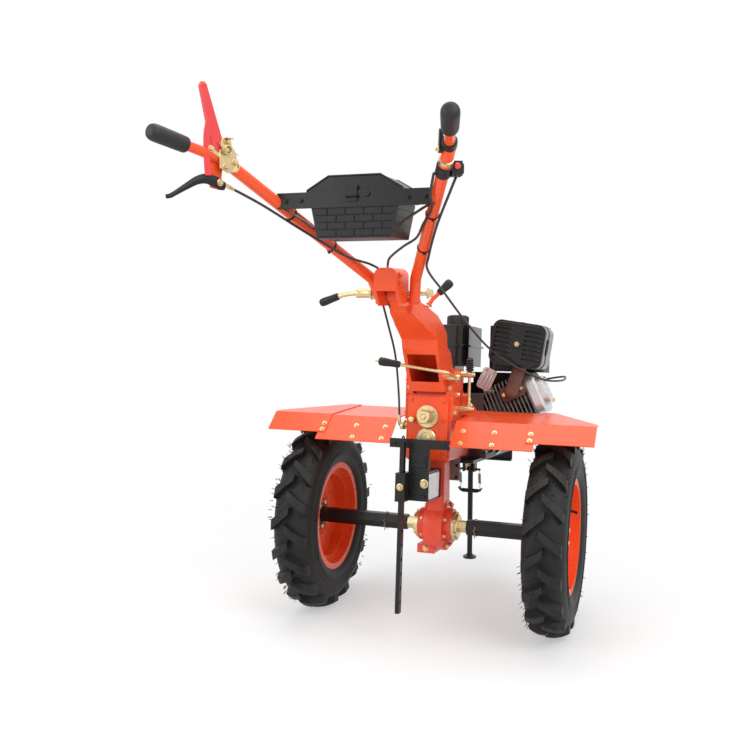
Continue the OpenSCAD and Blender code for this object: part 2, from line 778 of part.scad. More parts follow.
function fender_line(share) =
    let (a = body_of([fender_rear, 0, fender_top]), b = body_of([fender_front, 0, fender_top]))
    [[a[0] - flap_back * share, a[2] - flap_drop * share], [a[0], a[2]], [b[0], b[2]],
        [b[0] + front_lip / 2, b[2] - front_lip]];
cross_bar_at = fender_line(1)[0] + cross_bar_off;
module fender(side) {
    color([0.88, 0.26, 0.08]) chassis() mirror([0, (1 - side) / 2, 0]) {
        across([fender_in, fender_join]) polygon(band(fender_line(1), fender_t));
        intersection() {
            across([case_w / 2, fender_in]) polygon(band(fender_line(1), fender_t));
            box(fender_tab, [0, fender_in], [0, case_top]);
        }
    }
}
module fender_extensions() {
    out = fender_span / 2 + overrun;
    color([0.88, 0.26, 0.08]) chassis() for (side = [-1, 1]) mirror([0, (1 - side) / 2, 0]) difference() {
        across([fender_join - fender_lap, fender_span / 2])
            polygon(band(beside(fender_line(ext_flap_share), fender_t), fender_t));
        upward([0, case_top]) polygon([[ext_cut_x[0], fender_join + overrun],
            [2 * fender_front, fender_join + overrun], [2 * fender_front, out], [ext_cut_x[1], out]]);
    }
}
module fender_bar() {
    color([0.06, 0.06, 0.065]) chassis()
        box([cross_bar_at[0] - cross_bar_t, cross_bar_at[0]], [-fender_in, fender_in],
            [cross_bar_at[1] - cross_bar_h / 2, cross_bar_at[1] + cross_bar_h / 2]);
}
module leg_outline() {
    polygon([[leg_top_x[0], case_low], [leg_low_x[0], leg_low_z], [0, 0], [leg_low_x[1], leg_low_z],
        [leg_top_x[1], case_low]]);
}
module hitch() {
    color([0.06, 0.06, 0.065]) chassis() difference() {
        union() {
            box(hitch_x, [-hitch_half, hitch_half], hitch_z);
            box([hitch_x[0], hitch_x[0] + hitch_tab_t], [-hitch_half, hitch_half],
                [hitch_z[1], cross_bar_at[1] - cross_bar_h / 2]);
            translate([0, stake_y, 0])
                box([stake_x - stake_size[0] / 2 - sleeve_wall, hitch_x[0] + sleeve_wall],
                    [-stake_size[1] / 2 - sleeve_wall, stake_size[1] / 2 + sleeve_wall], sleeve_z);
        }
        across([-hitch_half - overrun, hitch_half + overrun]) leg_outline();
        upward([hitch_z[0] - overrun, hitch_z[1] + overrun]) translate([hitch_pin_x, 0]) circle(hitch_pin_r);
        translate([0, stake_y, 0])
            box([stake_x - stake_size[0] / 2 - seat, stake_x + stake_size[0] / 2 + seat],
                [-stake_size[1] / 2 - seat, stake_size[1] / 2 + seat],
                [sleeve_z[0] - overrun, sleeve_z[1] + overrun]);
    }
}
module depth_stake() {
    color([0.07, 0.07, 0.075]) chassis() translate([0, stake_y, 0]) difference() {
        box([stake_x - stake_size[0] / 2, stake_x + stake_size[0] / 2],
            [-stake_size[1] / 2, stake_size[1] / 2], stake_z);
        for (i = [0:stake_holes - 1]) translate([stake_x, 0, stake_z[0] + stake_first + i * stake_pitch])
            across([-stake_size[1], stake_size[1]]) circle(d = stake_hole_d);
    }
}

bar_dir = bar_point(1, 1) - bar_point(0, 1);
bar_yaw = atan2(bar_dir[1], bar_dir[0]);
// Beside a bar: x runs back along the bar, y towards the middle of the machine, z up
module beside_bar(at, side) {
    from_pivot() mirror([0, (1 - side) / 2, 0]) translate(bar_mix(at, 1)) rotate([0, 0, bar_yaw]) children();
}
module pivot_bore() {
    from_pivot() across([-bar_spread, bar_spread]) circle(clamp_d / 2 + seat);
}
module head_outline(wall) {
    size = [2 * (head_half - wall), 2 * (head_z[1] - wall - head_z[0])];
    translate([0, head_z[0]]) rounded(size, head_round - wall);
}
module handlebar_head() {
    color([0.88, 0.26, 0.08]) difference() {
        from_pivot() difference() {
            intersection() {
                along(head_x) head_outline(0);
                across([-head_half, head_half])
                    polygon([[head_x[1], head_z[0]], [head_cut[0], head_z[0]], [head_x[0], head_cut[1]],
                        [head_x[0], head_z[1]], [head_x[1], head_z[1]]]);
            }
            along([head_x[0] + head_t, head_x[1] + overrun]) head_outline(head_t);
        }
        pivot_bore();
    }
}
module bar_tube(side, d) { rod(bar_point(0, side), bar_point(1, side), d); }
module bar(side) {
    color([0.88, 0.26, 0.08]) difference() {
        union() {
            from_pivot() {
                rod(foot_point(side), bar_point(0, side), bar_d);
                bar_tube(side, bar_d);
                for (i = [0, 1]) translate(bar_point(i, side)) sphere(d = bar_d + seat);
                rod(bar_point(1, side), grip_start(side), bar_thin_d);
            }
            if (side > 0) beside_bar(bar_point(1, side)[0], side)
                across([-hang_t / 2, hang_t / 2]) polygon(hang_points);
        }
        pivot_bore();
    }
}
module grips() {
    color([0.05, 0.05, 0.055]) from_pivot() for (side = [-1, 1])
        rod(grip_start(side), bar_point(2, side), grip_d);
}
module clamp_lever() {
    color([0.80, 0.74, 0.50]) from_pivot() {
        across([-head_half - bar_d - 2 * clamp_d, clamp_end]) circle(d = clamp_d);
        across(clamp_sleeve_y) circle(d = clamp_sleeve_d);
        across([clamp_end, clamp_end + clamp_knob_l]) circle(d = clamp_knob_d);
    }
}
module clutch_lever() {
    color([0.82, 0.09, 0.10]) beside_bar(lever_at, 1)
        link([bar_d / 2 - lever_t, bar_d / 2], lever_pivot, lever_top, lever_r[0], lever_r[1]);
}
module clutch_bracket() {
    face = bar_d / 2 + seat;
    color([0.80, 0.72, 0.45]) beside_bar(bar_point(1, 1)[0], 1)
        across([face, face + bracket_t]) polygon(bracket_points);
}
module hand_lever() {
    color([0.05, 0.05, 0.055]) beside_bar(bar_point(1, 1)[0], 1) {
        link([hang_t / 2, hang_t / 2 + hand_t], hand_pivot, hand_knee, hand_r[0], hand_r[1]);
        link([hang_t / 2, hang_t / 2 + hand_t], hand_knee, hand_tip, hand_r[1], hand_r[2]);
    }
}
module throttle() {
    face = bar_d / 2 + seat;
    color([0.05, 0.05, 0.055]) beside_bar(bar_point(1, 1)[0], -1) {
        across([-face - switch_t, -face]) translate(switch_at) square(switch_size, center = true);
        link([face, face + switch_lever_t], switch_lever[0], switch_lever[1], switch_r[0], switch_r[1]);
    }
}
module cross_panel() {
    color([0.06, 0.06, 0.065]) from_pivot() difference() {
        box([panel_x, panel_x + panel_t], [-panel_half, panel_half], panel_z);
        for (side = [-1, 1]) bar_tube(side, bar_d + 2 * seat);
    }
}
module box_outline(wall, top) {
    a = box_half[0] - wall;
    b = box_half[1] - wall;
    polygon([[-a, top], [-b, box_z[0] + wall], [b, box_z[0] + wall], [a, top]]);
}
module toolbox() {
    color([0.06, 0.06, 0.065]) from_pivot() {
        difference() {
            along(box_x) box_outline(0, box_z[1]);
            along([box_x[0] + box_wall, box_x[1] - box_wall]) box_outline(box_wall, box_z[1] + overrun);
        }
        for (side = [-1, 1]) mirror([0, (1 - side) / 2, 0]) across(hinge_ear) difference() {
            union() {
                translate(lid_hinge) circle(hinge_ear_r);
                translate([box_x[1], lid_hinge[1] - 3 * hinge_ear_r])
                    square([lid_hinge[0] - box_x[1] + hinge_ear_r, 3 * hinge_ear_r]);
            }
            translate(lid_hinge) circle(hinge_r + run_fit);
        }
    }
}
module lid_outline(low, wall) {
    half = lid_half[0] - wall;
    z = lid_z - [wall, wall];
    polygon([[-half, low], [-half, z[0]], [-lid_half[1], z[1]], [lid_half[1], z[1]], [half, z[0]],
        [half, low]]);
}
module toolbox_lid() {
    low = box_z[1] + lid_gap;
    color([0.06, 0.06, 0.065]) from_pivot() {
        difference() {
            along([box_x[0], lid_front]) lid_outline(low, 0);
            along([box_x[0] + lid_wall, lid_front - lid_wall]) lid_outline(low - overrun, lid_wall);
            for (side = [-1, 1]) mirror([0, (1 - side) / 2, 0])
                across([hinge_ear[0] - overrun, hinge_ear[1] + overrun])
                    translate(lid_hinge) circle(2 * hinge_ear_r);
        }
        translate([lid_hinge[0], 0, lid_hinge[1]]) across([-hinge_half, hinge_half]) circle(hinge_r);
    }
}

stand_top = level(stand_at);
module from_stand() { world() translate([stand_top[0], stand_top[1], 0]) children(); }
module stand() {
    color([0.06, 0.06, 0.065]) from_stand() {
        translate([stand_lead, 0, 0]) {
            upward([foot_h, stand_top[2]]) circle(d = stand_d);
            upward([0, foot_h]) circle(foot_r);
            upward([stand_top[2] - stand_collar_l, stand_top[2]]) circle(d = stand_collar_d);
            translate([0, 0, stand_top[2] - stand_bar_drop]) across([-stand_bar_half, stand_bar_half])
                circle(d = stand_bar_d);
        }
        translate([0, 0, stand_top[2]]) across([-stand_collar_d / 2, stand_collar_d / 2])
            circle(d = stand_collar_d);
        translate([0, 0, stand_top[2]]) across([-pin_half, pin_half]) circle(pin_r);
    }
}
module stand_springs() {
    peg = level([stand_at[0], stand_at[1], stand_at[2] - stand_peg]);
    bar = stand_top + [stand_lead, 0, -stand_bar_drop];
    color([0.55, 0.55, 0.56]) world() for (side = [-1, 1])
        translate([0, side * (stand_bar_half - spring_d / 2), 0])
            rod(bar + [0, 0, stand_bar_d / 2 + seat], peg - [0, 0, stand_bar_d / 2 + seat], spring_d);
}

tyre(1);  // tyre_left
tyre(-1);  // tyre_right
rim(1);  // rim_left
rim(-1);  // rim_right
axle(1);  // axle_left
axle(-1);  // axle_right
shaft(1);  // shaft_left
shaft(-1);  // shaft_right
gearbox();
final_drive();
axle_flanges();
gearbox_caps();
clutch_housing();
crankcase();
cylinder_block();  // cylinder
head_cover();
exhaust_elbow();
muffler();
muffler_guard();
fuel_tank();
fuel_cap();
air_cleaner();
fan_housing();
recoil_starter();
engine_bed();
column();
lever_rods();
lever_knobs();
linkage();
fender(1);  // fender_left
fender(-1);  // fender_right
fender_extensions();
fender_bar();
hitch();
depth_stake();
handlebar_head();
bar(1);  // bar_left
bar(-1);  // bar_right
grips();
clamp_lever();
clutch_lever();
clutch_bracket();
hand_lever();
throttle();
cross_panel();
toolbox();
toolbox_lid();
stand();
stand_springs();
cable(clutch_route, cable_d);  // cable_clutch
cable(throttle_route, cable_d);  // cable_throttle
cable(stop_route, cable_d);  // cable_stop
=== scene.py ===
import json
import math
import random

import bpy
from mathutils import Matrix, Vector


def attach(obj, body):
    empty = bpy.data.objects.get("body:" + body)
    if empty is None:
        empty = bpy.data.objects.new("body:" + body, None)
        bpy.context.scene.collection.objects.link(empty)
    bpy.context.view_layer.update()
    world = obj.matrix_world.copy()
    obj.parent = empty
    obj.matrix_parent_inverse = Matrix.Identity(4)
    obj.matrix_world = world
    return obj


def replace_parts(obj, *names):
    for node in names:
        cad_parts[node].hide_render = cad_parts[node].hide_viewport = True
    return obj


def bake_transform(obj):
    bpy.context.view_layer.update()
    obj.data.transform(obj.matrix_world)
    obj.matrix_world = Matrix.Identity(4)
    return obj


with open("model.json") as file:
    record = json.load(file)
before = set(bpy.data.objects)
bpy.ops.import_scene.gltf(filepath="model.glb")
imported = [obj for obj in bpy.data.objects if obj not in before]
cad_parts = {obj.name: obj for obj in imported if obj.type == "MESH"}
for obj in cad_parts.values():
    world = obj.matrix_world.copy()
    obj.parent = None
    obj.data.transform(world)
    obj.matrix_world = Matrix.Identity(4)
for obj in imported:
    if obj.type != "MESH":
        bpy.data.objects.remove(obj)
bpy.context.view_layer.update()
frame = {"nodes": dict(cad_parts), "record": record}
nodes = frame["nodes"]
random.seed(4)

# The part's own values, in millimetres, with the pitch of the parked chassis in radians
TYRE_R, TRACK, PITCH = 285, 724, math.radians(5)
ORIGIN_X = 149.46
PIVOT = (-366.296, 0, 974.549)
MM = 0.001


def level(x, y, z):
    """A point of the level frame, in metres."""
    return Vector(((x + ORIGIN_X) * MM, y * MM, z * MM))


# Camera, at the place and lens fitted to the photograph
SENSOR, LENS, FAR = 36, 43.29, 50
CAMERA_AT = Vector((-2.563 + ORIGIN_X * MM, -0.7397, 0.9666))
YAW, DOWN, ROLL = math.radians(19.99), math.radians(4.99), math.radians(0.12)
camera_data = bpy.data.cameras.new("camera")
camera = bpy.data.objects.new("camera", camera_data)
bpy.context.scene.collection.objects.link(camera)
camera_data.sensor_width = SENSOR
camera_data.lens = LENS
camera_data.clip_end = FAR
look = Vector((math.cos(YAW) * math.cos(DOWN), math.sin(YAW) * math.cos(DOWN), -math.sin(DOWN)))
camera.location = CAMERA_AT
camera.rotation_euler = (look.to_track_quat("-Z", "Y") @ Matrix.Rotation(ROLL, 3, "Z").to_quaternion()).to_euler()
bpy.context.scene.camera = camera
bpy.context.scene.view_settings.view_transform = "Standard"


# Materials
def new_material(name):
    m = bpy.data.materials.new(name)
    m.use_nodes = True
    t = m.node_tree
    t.nodes.clear()
    out = t.nodes.new("ShaderNodeOutputMaterial")
    shader = t.nodes.new("ShaderNodeBsdfPrincipled")
    t.links.new(shader.outputs[0], out.inputs[0])
    return m, t, shader


def noise(t, coord, scale, detail=4, rough=0.55):
    n = t.nodes.new("ShaderNodeTexNoise")
    n.inputs["Scale"].default_value = scale
    n.inputs["Detail"].default_value = detail
    n.inputs["Roughness"].default_value = rough
    t.links.new(coord, n.inputs["Vector"])
    return n.outputs["Fac"]


def spread(t, value, low, high, to_low=0.0, to_high=1.0):
    n = t.nodes.new("ShaderNodeMapRange")
    n.inputs["From Min"].default_value = low
    n.inputs["From Max"].default_value = high
    n.inputs["To Min"].default_value = to_low
    n.inputs["To Max"].default_value = to_high
    t.links.new(value, n.inputs["Value"])
    return n.outputs["Result"]


def math_node(t, kind, a, b):
    n = t.nodes.new("ShaderNodeMath")
    n.operation = kind
    for socket, value in zip(n.inputs, (a, b)):
        if isinstance(value, (int, float)):
            socket.default_value = value
        else:
            t.links.new(value, socket)
    return n.outputs[0]


def mix(t, share, a, b):
    n = t.nodes.new("ShaderNodeMix")
    n.data_type = "RGBA"
    t.links.new(share, n.inputs["Factor"])
    sockets = [s for s in n.inputs if s.type == "RGBA"]
    for socket, value in zip(sockets, (a, b)):
        if isinstance(value, tuple):
            socket.default_value = (*value, 1)
        else:
            t.links.new(value, socket)
    return [s for s in n.outputs if s.type == "RGBA"][0]


# Scales of the finishes' finer noises, the bands of values that count, and settings that all finishes share
FINE_SCALE, SPECK_SCALE = 9, 30
CLOUD_BAND, GLOSS_BAND, SPECK_BAND = (0.3, 0.7), (0.25, 0.75), (0.66, 0.72)
EDGE_BAND, WEAR_BAND = (0.985, 0.86), (0.5, 0.66)
DUST_BAND, DUST_FACING = (0.35, 0.75), (-0.2, 0.9, 0.25, 1.0)
BEVEL_SAMPLES, BUMP_STRENGTH, COAT_ROUGHNESS = 4, 0.6, 0.12


def finish_of(name, base, shade, rough, metal=0.0, coat=0.0, cloud=14, grain=900, grain_depth=0.00012,
              dust=0.0, dust_colour=(0.42, 0.36, 0.28), wear=0.0, wear_colour=(0.20, 0.17, 0.15), soft=0.0012,
              specular=0.5, speck=0.0, speck_colour=(0.25, 0.12, 0.06)):
    """A procedural finish: clouded colour, worn edges, dust on what faces up, specks, uneven gloss and a fine grain."""
    m, t, shader = new_material(name)
    coord = t.nodes.new("ShaderNodeTexCoord").outputs["Object"]
    geometry = t.nodes.new("ShaderNodeNewGeometry")
    clouds = noise(t, coord, cloud, 5)
    fine = noise(t, coord, cloud * FINE_SCALE, 5, 0.65)
    colour = mix(t, spread(t, clouds, *CLOUD_BAND), base, shade)
    bevel = t.nodes.new("ShaderNodeBevel")
    bevel.samples = BEVEL_SAMPLES
    bevel.inputs["Radius"].default_value = soft
    if wear:
        dot = t.nodes.new("ShaderNodeVectorMath")
        dot.operation = "DOT_PRODUCT"
        t.links.new(bevel.outputs[0], dot.inputs[0])
        t.links.new(geometry.outputs["Normal"], dot.inputs[1])
        edge = spread(t, dot.outputs["Value"], *EDGE_BAND)
        worn = math_node(t, "MULTIPLY", edge, spread(t, fine, *WEAR_BAND, 0.0, wear))
        colour = mix(t, worn, colour, wear_colour)
    if dust:
        up = t.nodes.new("ShaderNodeSeparateXYZ")
        t.links.new(geometry.outputs["Normal"], up.inputs[0])
        facing = spread(t, up.outputs["Z"], *DUST_FACING)
        laid = math_node(t, "MULTIPLY", facing, spread(t, fine, *DUST_BAND, 0.0, dust))
        colour = mix(t, laid, colour, dust_colour)
    if speck:
        spots = spread(t, noise(t, coord, cloud * SPECK_SCALE, 2), *SPECK_BAND, 0.0, speck)
        colour = mix(t, spots, colour, speck_colour)
    t.links.new(colour, shader.inputs["Base Color"])
    gloss = spread(t, fine, *GLOSS_BAND, max(rough - 0.05, 0.04), min(rough + 0.07, 1))
    t.links.new(gloss, shader.inputs["Roughness"])
    shader.inputs["Metallic"].default_value = metal
    shader.inputs["Specular IOR Level"].default_value = specular
    if coat:
        shader.inputs["Coat Weight"].default_value = coat
        shader.inputs["Coat Roughness"].default_value = COAT_ROUGHNESS
    bump = t.nodes.new("ShaderNodeBump")
    bump.inputs["Strength"].default_value = BUMP_STRENGTH
    bump.inputs["Distance"].default_value = grain_depth
    t.links.new(noise(t, coord, grain, 3), bump.inputs["Height"])
    t.links.new(bevel.outputs[0], bump.inputs["Normal"])
    t.links.new(bump.outputs[0], shader.inputs["Normal"])
    return m


FINISH = {
    "tyre": finish_of("tyre_rubber", (0.009, 0.0083, 0.008), (0.015, 0.014, 0.0135), 0.55, cloud=9, grain=600,
                      grain_depth=0.0002, dust=0.05, dust_colour=(0.16, 0.14, 0.12), soft=0.003, specular=0.3),
    "orange_paint": finish_of("orange_enamel", (0.89, 0.092, 0.018), (0.84, 0.080, 0.016), 0.28, coat=0.15, cloud=6,
                              grain=120, grain_depth=0.00001, dust=0.02, soft=0.001, specular=0.3),
    "leg_paint": finish_of("cast_enamel", (0.86, 0.072, 0.030), (0.76, 0.060, 0.025), 0.38, coat=0.25, cloud=18,
                           grain=300, grain_depth=0.0005, dust=0.05, wear=0.6, soft=0.004, specular=0.4),
    "black_paint": finish_of("black_enamel", (0.006, 0.0058, 0.0057), (0.009, 0.0085, 0.008), 0.34, coat=0.08, cloud=11,
                             grain=300, grain_depth=0.00008, dust=0.02, wear=0.5, wear_colour=(0.16, 0.14, 0.13),
                             specular=0.3),
    "zinc": finish_of("yellow_zinc", (0.74, 0.57, 0.26), (0.62, 0.51, 0.34), 0.29, metal=0.9, cloud=26, grain=700,
                      grain_depth=0.0001, speck=0.35, soft=0.001),
    "red_paint": finish_of("red_enamel", (0.84, 0.045, 0.045), (0.76, 0.036, 0.038), 0.24, coat=0.5, cloud=9,
                           grain=260, grain_depth=0.0002, wear=0.4),
    "engine_black": finish_of("engine_enamel", (0.006, 0.005, 0.0048), (0.008, 0.007, 0.0066), 0.20, coat=0.2, cloud=10,
                              grain=240, grain_depth=0.00005, dust=0.01, specular=0.3),
    "engine_grey": finish_of("cast_grey", (0.075, 0.074, 0.074), (0.050, 0.049, 0.049), 0.5, metal=0.3, cloud=20,
                             grain=500, grain_depth=0.0008, dust=0.15),
    "fins": finish_of("cast_fins", (0.25, 0.24, 0.23), (0.16, 0.15, 0.145), 0.45, metal=0.6, cloud=22, grain=600,
                      grain_depth=0.0006, dust=0.18),
    "silver": finish_of("bright_casting", (0.73, 0.73, 0.74), (0.60, 0.60, 0.61), 0.33, metal=0.65, cloud=24,
                        grain=520, grain_depth=0.0003, soft=0.0014),
    "rust": finish_of("rusty_iron", (0.185, 0.105, 0.080), (0.125, 0.075, 0.060), 0.66, cloud=34, grain=420,
                      grain_depth=0.0008, speck=0.3, speck_colour=(0.20, 0.10, 0.05), specular=0.3),
    "black_plastic": finish_of("moulded_black", (0.007, 0.007, 0.0075), (0.011, 0.011, 0.011), 0.42, cloud=12,
                               grain=1100, grain_depth=0.0001, dust=0.02, specular=0.35),
    "grip_rubber": finish_of("soft_rubber", (0.009, 0.009, 0.0095), (0.014, 0.014, 0.014), 0.55, cloud=14, grain=900,
                             grain_depth=0.0002, dust=0.05),
    "cable_sheath": finish_of("cable_sheath", (0.013, 0.013, 0.014), (0.022, 0.022, 0.023), 0.38, cloud=16, grain=900,
                              grain_depth=0.0001, dust=0.06),
    "spring_steel": finish_of("spring_wire", (0.36, 0.35, 0.34), (0.24, 0.22, 0.20), 0.36, metal=1.0, cloud=60,
                              grain=900, grain_depth=0.0002, speck=0.3),
}
for part in frame["record"]["subparts"]:
    mesh = nodes[part["node"]].data
    mesh.materials.clear()
    mesh.materials.append(FINISH[part["material_slot"]])
    for face in mesh.polygons:
        face.material_index = 0


# Mesh building, in millimetres of a frame
SCALE = Matrix.Scale(MM, 4)
LEVEL = Matrix.Translation(level(0, 0, 0)) @ SCALE
CHASSIS = Matrix.Translation(level(0, 0, TYRE_R)) @ Matrix.Rotation(PITCH, 4, "Y") @ SCALE
HANDLE = Matrix.Translation(level(*PIVOT)) @ SCALE
MIRROR = Matrix.Scale(-1, 4, Vector((0, 1, 0)))
STAND_TOP = (635.695, 51, 379.957)


class Batch:
    """Gathers shapes into one mesh that rides on one body with one finish."""

    def __init__(self, name, body, slot, smooth=35):
        self.name, self.body, self.slot, self.smooth = name, body, slot, smooth
        self.points, self.faces = [], []

    def add(self, shape, place):
        points, faces = shape
        first = len(self.points)
        turn = -1 if place.determinant() < 0 else 1
        self.points += [place @ Vector(p) for p in points]
        self.faces += [tuple(first + i for i in f)[::turn] for f in faces]

    def make(self):
        mesh = bpy.data.meshes.new(self.name)
        mesh.from_pydata(self.points, [], self.faces)
        mesh.materials.append(FINISH[self.slot])
        for face in mesh.polygons:
            face.use_smooth = True
        mesh.set_sharp_from_angle(angle=math.radians(self.smooth))
        mesh.update()
        piece = bpy.data.objects.new(self.name, mesh)
        bpy.context.scene.collection.objects.link(piece)
        return piece

    def done(self):
        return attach(self.make(), self.body)


trims = {}


def trim(body, slot):
    """The batch of small pieces of one finish on one body."""
    if (body, slot) not in trims:
        trims[body, slot] = Batch(f"{body}_{slot}_trim", body, slot)
    return trims[body, slot]


def lathe(profile, sides=24, ribs=0.0):
    """A closed turned shape about Z from (radius, height) pairs; ribs take that much off every other side."""
    points, rings = [], []
    for r, z in profile:
        if r < 1e-9:
            rings.append([len(points)])
            points.append((0, 0, z))
        else:
            rings.append(list(range(len(points), len(points) + sides)))
            for k in range(sides):
                a, q = 2 * math.pi * k / sides, r - (ribs if k % 2 else 0)
                points.append((q * math.cos(a), q * math.sin(a), z))
    faces = []
    for a, b in zip(rings, rings[1:]):
        for k in range(sides):
            n = (k + 1) % sides
            if len(a) == 1 and len(b) > 1:
                faces.append((a[0], b[n], b[k]))
            elif len(b) == 1 and len(a) > 1:
                faces.append((a[k], a[n], b[0]))
            elif len(a) > 1:
                faces.append((a[k], a[n], b[n], b[k]))
    if len(rings[0]) > 1:
        faces.append(tuple(reversed(rings[0])))
    if len(rings[-1]) > 1:
        faces.append(tuple(rings[-1]))
    return points, faces


def ring(radius, section, sides=48, facets=8, flat=1.0):
    """A ring about Z with a round section, or a flattened one."""
    points, faces = [], []
    for i in range(sides):
        a = 2 * math.pi * i / sides
        for k in range(facets):
            b = 2 * math.pi * k / facets
            r = radius + section * math.cos(b)
            points.append((r * math.cos(a), r * math.sin(a), section * flat * math.sin(b)))
    for i in range(sides):
        for k in range(facets):
            j, n = (i + 1) % sides, (k + 1) % facets
            faces.append((i * facets + k, j * facets + k, j * facets + n, i * facets + n))
    return points, faces


def sweep(path, profile, side=None, sizes=None):
    """A closed shape with a flat profile carried along a path; side is where the profile's first axis starts."""
    path = [Vector(p) for p in path]
    count, sides = len(path), len(profile)
    points, faces = [], []
    side = Vector(side) if side else None
    for i, p in enumerate(path):
        way = (path[min(i + 1, count - 1)] - path[max(i - 1, 0)]).normalized()
        if side is None:
            side = way.orthogonal()
        side = (side - way * side.dot(way)).normalized()
        other = way.cross(side)
        size = sizes[i] if sizes else 1
        points += [p + (side * u + other * v) * size for u, v in profile]
    for i in range(count - 1):
        for k in range(sides):
            n = (k + 1) % sides
            faces.append((i * sides + k, i * sides + n, (i + 1) * sides + n, (i + 1) * sides + k))
    faces.append(tuple(reversed(range(sides))))
    faces.append(tuple(range((count - 1) * sides, count * sides)))
    return points, faces


def disc(radius, sides):
    """The corner points of a regular outline."""
    turns = [2 * math.pi * k / sides for k in range(sides)]
    return [(radius * math.cos(a), radius * math.sin(a)) for a in turns]


def tube(path, radius, sides=12):
    """A round rod or wire along a path."""
    return sweep(path, disc(radius, sides))


def strap(path, width, thick, across):
    """A flat strap whose width runs along across."""
    w, t, e = width / 2, thick / 2, min(thick, width) / 5
    profile = [(-w, -t + e), (-w + e, -t), (w - e, -t), (w, -t + e),
               (w, t - e), (w - e, t), (-w + e, t), (-w, t - e)]
    return sweep(path, profile, across)


def through(points, steps):
    """A smooth line through the points."""
    points = [Vector(p) for p in points]
    line = []
    for i in range(len(points) - 1):
        a, b, c, d = (points[max(i - 1, 0)], points[i], points[i + 1], points[min(i + 2, len(points) - 1)])
        for k in range(steps):
            t = k / steps
            line.append((2 * b + t * (c - a) + t * t * (2 * a - 5 * b + 4 * c - d)
                         + t * t * t * (3 * b - a - 3 * c + d)) / 2)
    return line + [points[-1]]


def rounded(width, height, radius, steps=6):
    """The corner points of a rectangle with round corners."""
    points = []
    for q, (sx, sy) in enumerate(((1, 1), (-1, 1), (-1, -1), (1, -1))):
        middle_x, middle_y = sx * (width / 2 - radius), sy * (height / 2 - radius)
        for k in range(steps + 1):
            a = math.pi / 2 * (q + k / steps)
            points.append((middle_x + radius * math.cos(a), middle_y + radius * math.sin(a)))
    return points


def slab(outline, thick, chamfer=0.8):
    """A plate with chamfered upper edges; its outline runs anticlockwise."""
    count = len(outline)
    inner = []
    for i, p in enumerate(outline):
        a = (Vector(p) - Vector(outline[i - 1])).normalized()
        b = (Vector(outline[(i + 1) % count]) - Vector(p)).normalized()
        m = Vector((-a.y - b.y, a.x + b.x)).normalized()
        inner.append(Vector(p) + m * chamfer / max(m.dot(Vector((-a.y, a.x))), 0.4))
    points = [(x, y, 0) for x, y in outline] + [(x, y, thick - chamfer) for x, y in outline]
    points += [(p.x, p.y, thick) for p in inner]
    faces = [tuple(reversed(range(count))), tuple(range(2 * count, 3 * count))]
    for r in range(2):
        for k in range(count):
            n = (k + 1) % count
            faces.append((r * count + k, r * count + n, (r + 1) * count + n, (r + 1) * count + k))
    return points, faces


def put(at, way=(0, 0, 1), spin=0.0):
    """The place of a shape whose Z points along way."""
    q = Vector(way).to_track_quat("Z", "Y")
    return Matrix.Translation(Vector(at)) @ q.to_matrix().to_4x4() @ Matrix.Rotation(math.radians(spin), 4, "Z")


def bolts(batch, space, places, flats=10, head=6, washer=8):
    """Hexagon heads with chamfered corners, by width across flats and height, on washers of a radius."""
    r = flats / 2 / math.cos(math.pi / 6)
    shapes = [lathe([(0, -0.5), (washer, -0.5), (washer, 1.3), (washer * 0.95, 1.6), (0, 1.6)], 20),
              lathe([(0, 1.5), (r, 1.5), (r, 1.5 + head * 0.8), (r * 0.86, 1.5 + head), (r * 0.5, 1.5 + head),
                     (0, 1.3 + head)], 6)]
    for at, way in places:
        place = space @ put(at, way, random.uniform(0, 60))
        for shape in shapes:
            batch.add(shape, place)


def around(middle, radius, count, axis, turn=0.0):
    """Places on a circle, all pointing along axis, which is one of x and y with a sign."""
    way = Vector(axis)
    a, b = (Vector((0, 1, 0)), Vector((0, 0, 1))) if abs(way.x) > 0.5 else (Vector((1, 0, 0)), Vector((0, 0, 1)))
    return [(Vector(middle) + radius * (a * math.cos(q) + b * math.sin(q)), way)
            for q in (math.radians(turn) + 2 * math.pi * k / count for k in range(count))]


# Ways that a shape's Z can point
REAR, AHEAD = (-1, 0, 0), (1, 0, 0)
LEFT, RIGHT = (0, 1, 0), (0, -1, 0)
UP, BELOW = (0, 0, 1), (0, 0, -1)


def mirrored(side):
    """The left side of the part as it is, the right side as its mirror image."""
    return MIRROR if side < 0 else Matrix.Identity(4)


